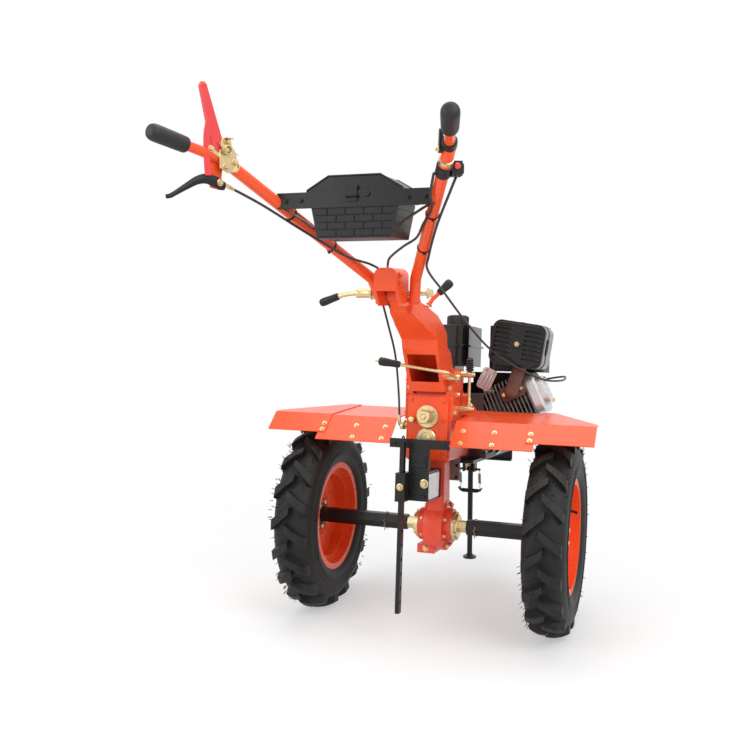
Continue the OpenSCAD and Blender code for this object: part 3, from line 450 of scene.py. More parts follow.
# Wheels, in a frame whose Y points outward: sidewall rings, rim edges, bolts, valve, mould hairs and axle pins
SIDEWALL_RINGS, SIDEWALL_Y = ((198, 1.5), (207, 1.0), (217, 1.5)), 60.1
RIM_R, RIM_SECTION, RIM_Y, BOLT_CIRCLE = 165, 2.6, 45.3, 37
CROWN_R, HAIRS, HAIR_TURN, HAIR_ACROSS, HAIR_LENGTH = 95, 420, (-58, 238), (10, 56), (12, 17)
PIN_Y, PIN_HALF = {1: 151, -1: 126}, 26
VALVE = [(0, 0), (5, 0), (5, 4), (3.4, 6), (3.4, 12), (4.2, 12), (4.2, 20), (0, 20)]
for side, body in ((1, "wheel_left"), (-1, "wheel_right")):
    wheel = Matrix.Translation(level(0, side * TRACK / 2, TYRE_R)) @ mirrored(side) @ SCALE
    facing_out = wheel @ put((0, 0, 0), LEFT)
    rubber, paint, metal = trim(body, "tyre"), trim(body, "orange_paint"), trim(body, "zinc")
    for out in (-1, 1):
        for radius, section in SIDEWALL_RINGS:
            rubber.add(ring(radius, section, 96, 6), facing_out @ Matrix.Translation((0, 0, out * SIDEWALL_Y)))
        paint.add(ring(RIM_R, RIM_SECTION, 96, 8), facing_out @ Matrix.Translation((0, 0, out * RIM_Y)))
    bolts(metal, wheel, around((0, 23, 0), BOLT_CIRCLE, 6, LEFT, 12), 14, 9, 10)
    bolts(metal, wheel, around((0, 10, 0), BOLT_CIRCLE, 6, RIGHT, 12), 14, 9, 9)
    trim(body, "black_plastic").add(lathe(VALVE, 14), wheel @ put((118, 26, 46), (-0.35, 0.9, -0.15)))
    for k in range(HAIRS):
        a = random.uniform(*HAIR_TURN)
        across = random.choice((-1, 1)) * random.uniform(*HAIR_ACROSS)
        r = TYRE_R - CROWN_R + math.sqrt(CROWN_R * CROWN_R - across * across) - 5
        base = Vector((r * math.cos(math.radians(a)), across, r * math.sin(math.radians(a))))
        way = Vector((base.x, across * 3 + random.uniform(-60, 60), base.z)).normalized()
        rubber.add(lathe([(1.2, 0), (0.8, 8), (0, random.uniform(*HAIR_LENGTH))], 4), wheel @ put(base, way))
    pin = PIN_Y[side] - TRACK / 2
    metal.add(tube([(0, pin, -PIN_HALF), (0, pin, PIN_HALF)], 4, 12), wheel)
    metal.add(ring(4.4, 1.2, 20, 6), wheel @ put((0, pin, 22.5), UP))
    clip = [(-24, pin, 9), (-25, pin + 4, 3), (-25, pin - 2, -4), (-24.5, pin + 3, -11), (-23, pin, -19),
            (-22, pin + 2, -27)]
    trim(body, "spring_steel").add(tube(through(clip, 5), 1.3, 8), wheel)

# Fenders, whose rear flap slopes down from an edge and whose top rises slightly to the front
FLAP_X, FLAP_Z, INNER_LIFT, OUTER_Y, OUTER_LIFT = -120.1, 317.7, 2.5, 306, 5
TOP_X, TOP_Z, TOP_SLOPE, PAD = -120, 316, 0.087, 22
zinc = trim("chassis", "zinc")
down = Vector((-0.717, 0, -0.697))
out = Vector((-0.697, 0, 0.717))


def on_flap(y, along, lift):
    """A bolt's place and way on the flap."""
    return Vector((FLAP_X, y, FLAP_Z)) + down * along + out * lift, out


for side in (-1, 1):
    upper = [on_flap(side * y, 38, INNER_LIFT) for y in (116, 205)] + [on_flap(side * OUTER_Y, 38, OUTER_LIFT)]
    lower = [on_flap(side * y, 84, INNER_LIFT) for y in (116, 205)]
    bolts(zinc, CHASSIS, upper + lower + [on_flap(side * OUTER_Y, 62, OUTER_LIFT)], 8, 4.5, 7.5)
    on_top = [((x, side * 78, TOP_Z + (x - TOP_X) * TOP_SLOPE + PAD), UP) for x in (40, 88)]
    bolts(zinc, CHASSIS, on_top, 8, 5, 8)
bolts(trim("chassis", "black_paint"), CHASSIS, [((-186.2, y, 252.7), REAR) for y in (-72, 72)], 8, 4.5, 7)

# Gearbox and final drive
CASE_REAR, UPPER_Z, LOWER_Z = -112, 328, 265
FLANGE_BOLT_R, DRIVE_BOLT_R, DRIVE_TURN = 38, 63, 22
case_bolts = [((CASE_REAR, y, z), REAR) for y in (-50, 50) for z in (217, 262, 374)]
bolts(trim("chassis", "orange_paint"), CHASSIS, case_bolts + [((CASE_REAR, -50, 318), REAR)], 8, 5, 7)
bolts(zinc, CHASSIS, around((-119, 0, UPPER_Z), 26, 4, REAR, 45), 6, 3.5, 5)
nose = CHASSIS @ put((-159, 0, UPPER_Z), REAR)
zinc.add(lathe([(19.4, -36), (19.4, -30), (19.2, -30), (19.2, 0), (17, 2.5), (9, 2.5), (9, 1.5), (0, 1.5)], 40), nose)
zinc.add(lathe([(0, 1), (8, 1), (8, 6), (6.8, 7.5), (0, 7.5)], 6), nose)
cap = CHASSIS @ put((-124, 0, LOWER_Z), REAR)
zinc.add(lathe([(28.6, -4), (28.6, 0), (26, 2.4), (17, 2.4), (17, 1), (0, 1)], 44), cap)
zinc.add(lathe([(0, 0.5), (11.5, 0.5), (11.5, 8), (10, 9.6), (0, 9.6)], 6), cap)
knob = CHASSIS @ put((CASE_REAR, 44, 318), REAR)
zinc.add(lathe([(0, -1), (5, -1), (5, 9), (8.5, 10), (9.3, 13), (9.3, 19), (7.5, 22), (0, 22.6)], 20), knob)
for side, face in ((1, 42), (-1, 58)):
    bolts(zinc, CHASSIS, around((0, side * (face + 9), 0), FLANGE_BOLT_R, 6, (0, side, 0), 30), 7, 4, 4.4)
cast = trim("chassis", "leg_paint")
boss = lathe([(0, -1), (9.5, -1), (9.5, 3), (8, 4.5), (0, 4.5)], 20)
for side, y in ((1, 18), (-1, -40)):
    for at, way in around((0, y, 0), DRIVE_BOLT_R, 8, (0, side, 0), DRIVE_TURN):
        cast.add(boss, CHASSIS @ put(at, way))
    bolts(zinc, CHASSIS, around((0, y + side * 4.2, 0), DRIVE_BOLT_R, 8, (0, side, 0), DRIVE_TURN), 8, 4.5, 6.5)
bolts(zinc, CHASSIS, [((-37, 16, -68), REAR)], 14, 7, 10)
for y in (-38, 10):
    cast.add(tube([(-58.5, y, 195), (-57, y, 120), (-56, y, 56)], 3, 10), CHASSIS)

# Hitch with its side plates, stake, and the grey bracket beside the leg
HITCH_REAR, STAKE_Y, BRACKET_Y = -186, 38, -38
bolts(zinc, CHASSIS, [((HITCH_REAR, -17, 142), REAR)], 17, 9, 13)
dark = trim("chassis", "black_paint")
hitch_bolts = [((HITCH_REAR, y, z), REAR) for y, z in ((17, 118), (-17, 106), (14, 205), (-14, 205))]
bolts(dark, CHASSIS, hitch_bolts, 10, 6, 8)
dark.add(slab(rounded(46, 40, 4), 3), CHASSIS @ put((HITCH_REAR, 0, 207), REAR))
bolts(zinc, CHASSIS, [((-235, STAKE_Y, 134), REAR)], 13, 9, 10)
dark.add(ring(10, 2, 28, 6), CHASSIS @ put((-217, STAKE_Y, 265), LEFT))
for side, plate in ((-1, trim("chassis", "silver")), (1, dark)):
    plate.add(slab(rounded(72, 96, 5), 3), CHASSIS @ put((-136, side * 30.2, 134), (0, side, 0), 90))
bracket = [(66, BRACKET_Y, 199), (64, BRACKET_Y, 165), (62, BRACKET_Y, 128)]
trim("chassis", "fins").add(strap(bracket, 34, 4, LEFT), CHASSIS)
bolts(dark, CHASSIS, [((60.5, -46, z), REAR) for z in (138, 174)], 6, 3, 5)

# Column, levers and linkage; a lever is its knob's start, a point of its rod, and the knob's length and radius
SHORT_LEVER = ((-276, -68, 668), (-284, -54, 652), 48, 12.5)
LONG_LEVER = ((-222, 52, 474), (-186, -76, 455), 62, 12)
LINK_X, LINK_Y = -24, -98
for side in (-1, 1):
    side_bolts = [((x, side * 71.3, z), (0, side, 0)) for x, z in ((-86, 340), (-86, 436), (-54, 392))]
    bolts(zinc, CHASSIS, side_bolts, 10, 6, 9)
    bolts(zinc, CHASSIS, [((-104, side * 60, z), REAR) for z in (412, 448)], 8, 5, 7)
paint = trim("chassis", "orange_paint")
paint.add(tube([(-291, -46.6, 636.5), SHORT_LEVER[1], SHORT_LEVER[0]], 5.6, 14), CHASSIS)
paint.add(lathe([(9, 0), (8.6, 2), (6, 4), (0, 4)], 20), CHASSIS @ put((-291.5, -46.2, 635.2), (0.36, -0.43, 0.83)))
knobs = Batch("lever_grips", "chassis", "black_plastic", 50)
for start, before, length, radius in (SHORT_LEVER, LONG_LEVER):
    shape = [(0, -0.2), (radius * 0.62, -0.2), (radius * 0.7, 2), (radius * 0.8, 5), (radius * 0.84, length * 0.4),
             (radius, length * 0.72), (radius * 0.97, length - 6), (radius * 0.8, length - 2),
             (radius * 0.45, length), (0, length)]
    knobs.add(lathe(shape, 28), CHASSIS @ put(start, Vector(start) - Vector(before)))
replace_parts(knobs.done(), "lever_knobs")
long_way = Vector(LONG_LEVER[0]) - Vector(LONG_LEVER[1])
tip = Vector(LONG_LEVER[0]) + long_way.normalized() * 61.5
zinc.add(lathe([(3, 0), (3, 9), (2.4, 10), (0, 10)], 12), CHASSIS @ put(tip, long_way))
folds = [(r, z) for k in range(5) for r, z in ((9.5 - k * 0.4, 2 + k * 7), (13 - k * 0.5, 5.5 + k * 7))]
boot = [(0, 0), (5, 0)] + folds + [(8, 38), (6, 41), (0, 41)]
trim("chassis", "grip_rubber").add(lathe(boot, 24), CHASSIS @ put((LINK_X, LINK_Y, 461), UP))
for z in (350, 452):
    bolts(zinc, CHASSIS, [((LINK_X, -107, z), RIGHT)], 11, 6, 8.6)
    zinc.add(ring(9.6, 2.2, 24, 8), CHASSIS @ put((LINK_X, LINK_Y, z), LEFT))
for z in (366, 376):
    zinc.add(lathe([(0, 0), (7.5, 0), (7.5, 6), (0, 6)], 6), CHASSIS @ put((LINK_X, LINK_Y, z), UP))
bolts(zinc, CHASSIS, [((-96, 80, 300), LEFT)], 12, 7, 9)

# Engine: muffler with its louvres and outlet, exhaust flange
black, plastic, bright = trim("chassis", "engine_black"), trim("chassis", "black_plastic"), trim("chassis", "silver")
MUFFLER = CHASSIS @ Matrix.Translation((168, -213, 548)) @ Matrix.Rotation(math.radians(8), 4, "X")
LOUVRE_ROWS, LOUVRE_PITCH, LOUVRE_Y, GUARD_X = 7, 14, 45, -82
OUTLET = (-22, -80.6, 4)
FLANGE_LEAN, FLANGE_HALF = math.radians(25), 28
for y in (-LOUVRE_Y, LOUVRE_Y):
    for i in range(LOUVRE_ROWS):
        z = (i - (LOUVRE_ROWS - 1) // 2) * LOUVRE_PITCH + 3.6
        lip = [(-79.6, y - 26, z - 1), (-81.5, y - 22, z), (-81.5, y + 22, z), (-79.6, y + 26, z - 1)]
        black.add(tube(lip, 2.1, 8), MUFFLER)
black.add(slab(rounded(165, 138, 27), 4), MUFFLER @ put((-14, 0, 0), REAR))
bolts(zinc, MUFFLER, [((-85, 0, 0), REAR)], 10, 5, 7.5)
bead = [(GUARD_X, y, z) for y, z in rounded(146, 120, 20)] + [(GUARD_X, 73, 40)]
black.add(sweep(bead, disc(1.6, 6)), MUFFLER)
rusty = trim("chassis", "rust")
rusty.add(slab(rounded(15, 46, 7), 1.6), MUFFLER @ put(OUTLET, RIGHT))
x, y, z = OUTLET
rim = [(x + u, y - 1.4, z + v) for u, v in rounded(19, 50, 9)] + [(x + 9.5, y - 1.4, z + 16)]
black.add(sweep(rim, disc(1.8, 6)), MUFFLER)
c, s = math.cos(FLANGE_LEAN), math.sin(FLANGE_LEAN)
flange_bolts = [((158, -190 + q * FLANGE_HALF * c, 404 - q * FLANGE_HALF * s), REAR) for q in (-1, 1)]
bolts(zinc, CHASSIS, flange_bolts, 11, 9, 7)
rusty.add(ring(20.4, 2.2, 32, 8), CHASSIS @ put((138, -200, 434), (0, -0.316, 0.949)))

# Engine: head, plug with its lead, intake cover
CYLINDER = CHASSIS @ Matrix.Translation((245, -25, 295)) @ Matrix.Rotation(math.radians(65), 4, "X")
COVER_Z = 281.5
bright.add(slab(rounded(138, 134, 30), 30, 6), CYLINDER @ Matrix.Translation((0, 0, 239)))
bright.add(slab(rounded(92, 72, 16), 4, 2), CYLINDER @ Matrix.Translation((0, 0, COVER_Z)))
for y in (-20, 0, 20):
    bright.add(slab(rounded(70, 6, 2.8), 3, 1.4), CYLINDER @ Matrix.Translation((0, y, 285)))
bolts(zinc, CYLINDER, [((x, y, 281.6), UP) for x in (-47, 47) for y in (-37, 37)], 9, 5, 7)
plug = CYLINDER @ put((66, -22, 226), (0.75, -0.2, 0.6))
zinc.add(lathe([(0, -8), (10, -8), (10, 4), (0, 4)], 6), plug)
plastic.add(lathe([(7, 3), (9.5, 5), (9.5, 22), (8, 26), (8, 40), (5, 44), (0, 44)], 20), plug)
lead = [plug @ Vector((0, 0, 42)), plug @ Vector((0, 0, 60))]
lead += [CHASSIS @ Vector(p) for p in ((352, -250, 440), (348, -190, 452), (334, -120, 442), (318, -90, 434))]
plastic.add(tube(through(lead, 8), 0.0034, 10), Matrix.Identity(4))
SHROUD = CHASSIS @ put((177, -104, 440), REAR, -24)
bright.add(slab(rounded(46, 70, 8), 3), SHROUD)
bright.add(strap([(175, -112, 404), (182, -112, 396), (204, -112, 394)], 34, 3, LEFT), CHASSIS)
for x in (-12, 0, 12):
    bright.add(tube([(x, -26, 2.6), (x, -20, 4.4), (x, 14, 4.4), (x, 20, 2.6)], 2.2, 8), SHROUD)
bolts(zinc, SHROUD, [((x, 27, 3), UP) for x in (-13, 13)], 7, 4, 5)

# Engine: tank with its cap, air cleaner, starter, feet
FILLER = CHASSIS @ Matrix.Translation((270, 20, 608))
CLEANER_X, CLEANER_Y = 315, -180
STARTER_AT, SPOKES, SPOKE_LEAN = (412, -25, 295), 18, 0.25
black.add(lathe([(43, -3), (43, 2), (41, 4), (30, 4)], 48), FILLER)
fuel = Batch("fuel_cap_ribbed", "chassis", "black_plastic", 30)
fuel.add(lathe([(0, 3), (34, 3), (36, 5), (36, 30), (34, 34), (0, 34)], 56, 2.2), FILLER)
fuel.add(lathe([(0, 33), (31, 33), (30, 36), (24, 37.5), (0, 38)], 48), FILLER)
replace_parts(fuel.done(), "fuel_cap")
black.add(slab(rounded(200, 150, 30), 3, 2), CHASSIS @ Matrix.Translation((275, 52, 607)))
bolts(zinc, CHASSIS, [((x, y, 546), UP) for x, y in ((171, 120), (171, -20), (391, 120))], 8, 4, 6)
plastic.add(slab(rounded(158, 180, 26), 5, 1.5), CHASSIS @ Matrix.Translation((CLEANER_X, CLEANER_Y, 538)))
plastic.add(slab(rounded(120, 140, 22), 4, 2.5), CHASSIS @ Matrix.Translation((CLEANER_X, CLEANER_Y, 611)))
wing_nut = lathe([(9, 0), (9, 4), (14, 6), (14, 12), (11, 14), (0, 14)], 12, 2)
plastic.add(wing_nut, CHASSIS @ Matrix.Translation((CLEANER_X, CLEANER_Y, 614)))
STARTER = CHASSIS @ put(STARTER_AT, AHEAD)
for radius, height in ((122, 0), (96, 40), (84, 40), (72, 40), (60, 40)):
    black.add(ring(radius, 2.4, 72, 8), STARTER @ Matrix.Translation((0, 0, height)))
black.add(lathe([(38, 50), (38, 53), (30, 55), (0, 55)], 40), STARTER)
for k in range(SPOKES):
    a = 2 * math.pi * k / SPOKES
    b = a + SPOKE_LEAN
    spoke = [(46 * math.cos(a), 46 * math.sin(a), 40.5), (98 * math.cos(b), 98 * math.sin(b), 40.5)]
    black.add(tube(spoke, 2.0, 6), STARTER)
bolts(zinc, CHASSIS, around(STARTER_AT, 119, 6, AHEAD, 0)[:4], 8, 5, 8)
pull = lathe([(0, -22), (7, -22), (8, -18), (6.5, 0), (8, 18), (7, 22), (0, 22)], 18)
plastic.add(pull, CHASSIS @ put((437, -92, 388), (0, 0.6, 0.8)))
plastic.add(tube([(437, -86, 384), (430, -70, 372)], 2.2, 8), CHASSIS)
bolts(zinc, CHASSIS, [((x, y, 204), UP) for x in (190, 300) for y in (-104, 68)], 13, 8, 5.8)
bolts(zinc, CHASSIS, [((690, y, 165), AHEAD) for y in (-70, 70)], 13, 8, 11)
bolts(zinc, CHASSIS, [((99, y, 180), BELOW) for y in (-72, 72)], 13, 8, 11)
clutch_face = lathe([(0, 0), (92, 0), (92, 8), (89, 10), (0, 10)], 64)
paint.add(clutch_face, CHASSIS @ put((118, -9, 295), AHEAD))

# Handlebar; a bar's foot, elbow and end are shares of its reach, half spread and rise
BAR_SHARES = ((0.041, 0.187, 0.114), (0.687, 0.822, 0.898), (1, 1, 1))
BAR_REACH, BAR_HALF, BAR_RISE, GRIP_L = 631, 310, 320, 98


def bar_point(i, side):
    x, y, z = BAR_SHARES[i]
    return Vector((-x * BAR_REACH, side * y * BAR_HALF, z * BAR_RISE))


def bar_mix(x, side):
    """The point of a bar's straight part at x."""
    a, b = bar_point(0, side), bar_point(1, side)
    return a + (x - a.x) / (b.x - a.x) * (b - a)


bar_way = {side: (bar_point(1, side) - bar_point(0, side)).normalized() for side in (-1, 1)}
grip_way = {side: (bar_point(2, side) - bar_point(1, side)).normalized() for side in (-1, 1)}
bar_yaw = math.atan2(bar_way[1].y, bar_way[1].x)


def beside(x, side):
    """Beside a bar: X runs back along the bar, Y towards the middle and Z up."""
    return HANDLE @ mirrored(side) @ Matrix.Translation(bar_mix(x, 1)) @ Matrix.Rotation(bar_yaw, 4, "Z")


ELBOW = bar_point(1, 1).x
hzinc, hblack = trim("handlebar", "zinc"), trim("handlebar", "black_paint")
hplastic, hpaint = trim("handlebar", "black_plastic"), trim("handlebar", "orange_paint")
grip = lathe([(0, -1), (14, -1), (16.8, 1), (17.4, 4), (17.8, 30), (18.2, 80), (17.6, 88), (15, 94.5), (9, GRIP_L),
              (0, GRIP_L)], 56, 0.5)
grips = Batch("ribbed_grips", "handlebar", "grip_rubber", 50)
for side in (-1, 1):
    grips.add(grip, HANDLE @ put(bar_point(2, side) - grip_way[side] * GRIP_L, grip_way[side]))
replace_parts(grips.done(), "grips")
for side, spots in ((1, (-150, -262)), (-1, (-140, -250))):
    for x in spots:
        tie = HANDLE @ put(bar_mix(x, side), bar_way[side])
        hplastic.add(ring(14.7, 1.5, 32, 6, 1.8), tie)
        hplastic.add(slab(rounded(6, 5, 1), 5), tie @ put((0, -15, 0), RIGHT))

# Throttle and stop switch on the right bar
SWITCH = beside(ELBOW, -1)
collar = HANDLE @ put(bar_mix(ELBOW + 56, -1), bar_way[-1])
band = HANDLE @ put(bar_mix(ELBOW + 32, -1), bar_way[-1])
upper_collar = HANDLE @ put(bar_point(1, -1) + grip_way[-1] * 26, grip_way[-1])
hplastic.add(lathe([(14.2, -16), (17.5, -14), (17.5, 14), (14.2, 16)], 32), collar)
hzinc.add(lathe([(14.2, -6), (16, -5), (16, 5), (14.2, 6)], 32), band)
hplastic.add(lathe([(11.2, -14), (15.5, -12), (15.5, 12), (11.2, 14)], 32), upper_collar)
hplastic.add(slab(rounded(22, 22, 4), 4, 1.5), SWITCH @ put((-62, -36.3, -34), RIGHT))
red = trim("handlebar", "red_paint")
red.add(lathe([(0, -2), (6.5, -2), (6.5, 4), (5, 6), (0, 6.4)], 20), SWITCH @ put((-47, -25, -30), AHEAD))
bolts(hzinc, SWITCH, [((0, 22.3, -4), LEFT)], 8, 5, 7)

# Clutch lever, its latch and the hand lever on the left bar; SIDE_ON lays an outline in X and Z
LEVER = beside(-398, 1)
HAND = beside(ELBOW, 1)
SIDE_ON = Matrix(((1, 0, 0, 0), (0, 0, 1, 0), (0, 1, 0, 0), (0, 0, 0, 1)))
LATCH_EDGE = [(-17, -28), (0, -30), (20, -21), (22, 15), (15, 20), (17, 37), (9, 44), (-8, 43), (-12, 24), (-19, 21),
              (-27, -8)]
LATCH_Y, LATCH_T = 14.3, 4
COIL_X, COIL_Z, COIL_R, COIL_STEPS, COIL_POINTS = 5, 18, 9, 16, 57
red.add(lathe([(7.2, 0), (6.8, 4), (5, 6.6), (0, 7.6)], 20), LEVER @ put((95, 9, 171), (0.2, 0, 1)))
red.add(strap(through([(84, 16.6, 104), (92, 16.6, 66), (92, 16.6, 20), (90, 16.6, -18)], 5), 15, 4, AHEAD), LEVER)
latch = Batch("clutch_latch_plate", "handlebar", "zinc", 40)
latch.add(slab(LATCH_EDGE, LATCH_T, 0.6), HAND @ Matrix.Translation((0, LATCH_Y, 0)) @ SIDE_ON)
latch.add(strap([(0.5, 15, 42), (0.5, 26, 43), (0.5, 30, 42)], 16, 2.6, AHEAD), HAND)
latch.add(strap([(-22.5, 15, -19), (-22.5, 27, -19)], 18, 2.6, (0.45, 0, -0.9)), HAND)
latch.add(strap([(45, 16.2, 18), (20, 16.2, 5)], 9, 3, (0.46, 0, -0.89)), HAND)
turns = [2 * math.pi * k / COIL_STEPS for k in range(COIL_POINTS)]
coil = [(COIL_X + COIL_R * math.cos(a), 19.5 + a * 0.5, COIL_Z + COIL_R * math.sin(a)) for a in turns]
latch.add(tube([(22, 19, 34)] + coil + [(-14, 37, 6)], 1.4, 8), HAND)
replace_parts(latch.done(), "clutch_bracket")
latch_bolts = [((43, 17.6, 17), LEFT)]
latch_bolts += [((x, LATCH_Y + LATCH_T, z), LEFT) for x, z in ((5, 18), (1, 36), (-18, -6), (6, -18))]
bolts(hzinc, HAND, latch_bolts, 10, 6, 7.5)
heel = [(14, 6), (46, 8), (46, 44), (30, 50), (14, 30)]
red.add(slab(heel, 8, 0.6), HAND @ Matrix.Translation((0, 5, 0)) @ SIDE_ON)
for y, way in ((17, LEFT), (-3, RIGHT)):
    bolts(hzinc, HAND, [((20, y, -52), way)], 10, 5, 8)
wave = through([(4, -58, 0.72), (14, -56, 0.95), (30, -50, 1), (52, -46, 0.9), (75, -52, 0.74), (100, -66, 0.58),
                (122, -79, 0.46), (138, -88, 0.42), (149, -91, 0.38)], 4)
section = [(7 * u, 12 * v) for u, v in disc(1, 20)]
bent = Batch("bent_hand_lever", "handlebar", "black_plastic", 50)
bent.add(sweep([(p.x, 10, p.y) for p in wave], section, LEFT, [p.z for p in wave]), HAND)
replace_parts(bent.done(), "hand_lever")

# Head and clamp
bolts(hzinc, HANDLE, [((0, -82, 0), RIGHT)], 19, 11, 14)
hzinc.add(lathe([(0, 0), (17, 0), (17, 2.4), (0, 2.4)], 28), HANDLE @ put((0, 65.8, 0), LEFT))
clamp = Batch("drooping_clamp_lever", "handlebar", "zinc", 50)
droop = through([(0, 108, 0), (0, 125, -1), (0, 145, -4), (0, 166, -10)], 5)
clamp.add(tube([(0, -82, 0)] + droop, 6, 20), HANDLE)
sleeve = lathe([(0, 0), (12, 0), (12.4, 3), (12.4, 8), (12, 10), (12, 30), (12.4, 32), (12.4, 38), (12, 40),
                (0, 40)], 28)
clamp.add(sleeve, HANDLE @ put((0, 70, 0), LEFT))
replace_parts(clamp.done(), "clamp_lever")
clamp_knob = lathe([(0, 0), (8, 0), (9.6, 3), (9.8, 20), (11, 40), (10.6, 50), (8, 54.6), (0, 55)], 24)
hplastic.add(clamp_knob, HANDLE @ put((0, 161, -8), (0, 1, -0.36)))
for side in (-1, 1):
    bolts(hpaint, HANDLE, [((-70, side * 30, z), (0, side, 0)) for z in (22, 44)], 10, 5, 8)
    foot_way = bar_point(0, side) - Vector((8, side * 44.3, -22))
    hpaint.add(ring(14.4, 2.0, 32, 8), HANDLE @ put(Vector((6.2, side * 44.9, -19)), foot_way))

# Panel and tool box, with raised lines on the box's walls
PANEL_X, BOX_X, BOX_PITCH, BRICK, LINE_R = -306, -302, 16, 44, 0.9
hblack.add(slab(rounded(24, 36, 3), 3), HANDLE @ put((PANEL_X, 2, 220), REAR))
buckle = [(-308, 14, 212), (-316, 13, 213), (-318, 10, 214), (-318, -6, 214), (-316, -9, 213), (-308, -10, 212)]
hblack.add(tube(through(buckle, 5), 2.6, 10), HANDLE)
button = lathe([(0, 0), (7, 0), (7, 3), (6, 4), (2.5, 4), (2.5, 3), (0, 3)], 20)
hblack.add(button, HANDLE @ put((PANEL_X, -32, 218), REAR))
bolts(hblack, HANDLE, [((PANEL_X, y, 208), REAR) for y in (-166, 166, -128, 128)], 8, 5, 7)


def box_half(z):
    """Half the width of the tapered tool box at z."""
    return 90 + 16 * (z - 122) / 78


for row, z in enumerate((126, 142, 158, 174)):
    half = box_half(z) - 6
    line = [(BOX_X, -half, z), (-303.2, -half + 3, z), (-303.2, half - 3, z), (BOX_X, half, z)]
    hplastic.add(tube(line, LINE_R, 6), HANDLE)
    for k in range(-2, 3):
        y = BRICK * k + (BRICK // 2 if row % 2 else 0)
        if abs(y) < half - 8:
            line = [(BOX_X, y, z), (-303, y, z + 2), (-303, y, z + BOX_PITCH - 2), (BOX_X, y, z + BOX_PITCH)]
            hplastic.add(tube(line, LINE_R, 6), HANDLE)
for side in (-1, 1):
    for z in (136, 152, 168, 184):
        half = side * (box_half(z) + 0.2)
        hplastic.add(tube([(-296, half, z), (-190, half, z)], LINE_R, 6), HANDLE)
    brace = [(-298, side * y, z) for y, z in ((172, 190), (160, 184), (116, 158), (100, 146))]
    hblack.add(strap(brace, 14, 3, AHEAD), HANDLE)
lid_edge = [(114, 206), (114, 230), (62, 260), (-62, 260), (-114, 230), (-114, 206)]
lid = trim("lid", "black_paint")
for x, radius in ((BOX_X, 2.4), (-180, 2.0)):
    lid.add(tube([(x, y, z) for y, z in lid_edge], radius, 10), HANDLE)
for y in (-40, 0, 40):
    lid.add(tube([(-292, y, 260), (-286, y, 261), (-196, y, 261), (-190, y, 260)], 2.2, 8), HANDLE)

# Stand and its springs
STAND = LEVEL @ Matrix.Translation(Vector(STAND_TOP) + Vector((8, 0, 0)))
BAR_DROP, PEG, SPRING_OFF = 124, (631.8, 335.1), 36
HOOK_R, HOOK_STEPS, SPRING_R, TURNS, TURN_STEPS = 5.2, 8, 4.3, 13, 12
stand = trim("stand", "black_paint")
boat = [(-46, 8), (-38, -4), (-26, -9), (26, -9), (38, -4), (46, 8),
        (40, 8), (34, 1), (24, -3), (-24, -3), (-34, 1), (-40, 8)]
stand.add(slab(boat, 16, 0.6), STAND @ put((-8, 0, -BAR_DROP), AHEAD))
foot = lathe([(22, 0), (23.5, 1), (23.5, 5), (14, 8), (10.5, 16), (9.4, 16)], 36)
stand.add(foot, STAND @ Matrix.Translation((0, 0, -STAND_TOP[2])))
stand.add(lathe([(13.6, -52), (14.4, -50), (14.4, -46), (13.6, -44)], 28), STAND)
springs = Batch("coil_springs", None, "spring_steel", 60)
half_turns = [k * math.pi / HOOK_STEPS for k in range(HOOK_STEPS + 1)]
for side in (-1, 1):
    peg = Vector((PEG[0], STAND_TOP[1] + side * SPRING_OFF, PEG[1]))
    bar = Vector((STAND_TOP[0] + 8, STAND_TOP[1] + side * SPRING_OFF, STAND_TOP[2] - BAR_DROP))
    axis = (bar - peg).normalized()
    u = axis.orthogonal().normalized()
    w = axis.cross(u)
    length = (bar - peg).length
    line = [peg + u * HOOK_R * math.sin(a) - axis * HOOK_R * math.cos(a) for a in half_turns]
    line += [peg + axis * 10]
    first, last = 16, length - 26
    for k in range(TURNS * TURN_STEPS + 1):
        a = 2 * math.pi * k / TURN_STEPS
        middle = peg + axis * (first + (last - first) * k / (TURNS * TURN_STEPS))
        line.append(middle + SPRING_R * (u * math.cos(a) + w * math.sin(a)))
    line += [peg + axis * (length - 18), peg + axis * (length - 9)]
    back = [math.pi - a for a in half_turns[1:]]
    line += [bar + u * HOOK_R * math.sin(a) + axis * HOOK_R * math.cos(a) for a in back]
    springs.add(tube(line, 1.2, 8), LEVEL)
piece = springs.make()
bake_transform(piece)
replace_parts(piece, "stand_springs")

# Cables, which run between the chassis and the handlebar; their routes are measured from the axle's middle
CABLES = {
    "cable_clutch": [(-812.6, 249.7, 924), (-715, 206, 887), (-612, 148, 833), (-500, 90, 781), (-430, 48, 761),
                     (-370, 44, 745), (-330, 56, 715), (-285, 70, 675), (-205, 80, 605), (-130, 84, 515),
                     (-98, 84, 405), (-90, 83.3, 307)],
    "cable_throttle": [(-733, -250, 924.9), (-690, -226, 901), (-600, -172, 839), (-500, -124, 777),
                       (-440, -104, 745), (-289, -102, 693), (-133, -120, 615), (20, -150, 535), (85, -200, 485),
                       (125, -290, 437), (200, -338, 427), (290, -336, 431), (350, -290, 421), (380, -223.6, 405)],
    "cable_stop": [(-740, -205, 936), (-700, -186, 897), (-668, -180, 871), (-600, -140, 843), (-535, -104, 818),
                   (-500, -60, 800), (-450, -10, 777), (-410, 10, 761), (-365, 26, 755), (-325, 44, 727),
                   (-288, 56, 690), (-250, 58, 650), (-205, 51.8, 595)],
}
CABLE_R = 3
AXLE = LEVEL @ Matrix.Translation((0, 0, TYRE_R))
for name, route in CABLES.items():
    batch = Batch(name + "_sheath", None, "cable_sheath", 60)
    batch.add(tube(through(route, 8), CABLE_R, 14), AXLE)
    piece = batch.make()
    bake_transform(piece)
    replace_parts(piece, name)
ferrule = lathe([(0, 0), (3.6, 0), (3.6, 5), (4.6, 6), (4.6, 20), (3.6, 22), (3.6, 30), (0, 30)], 14)
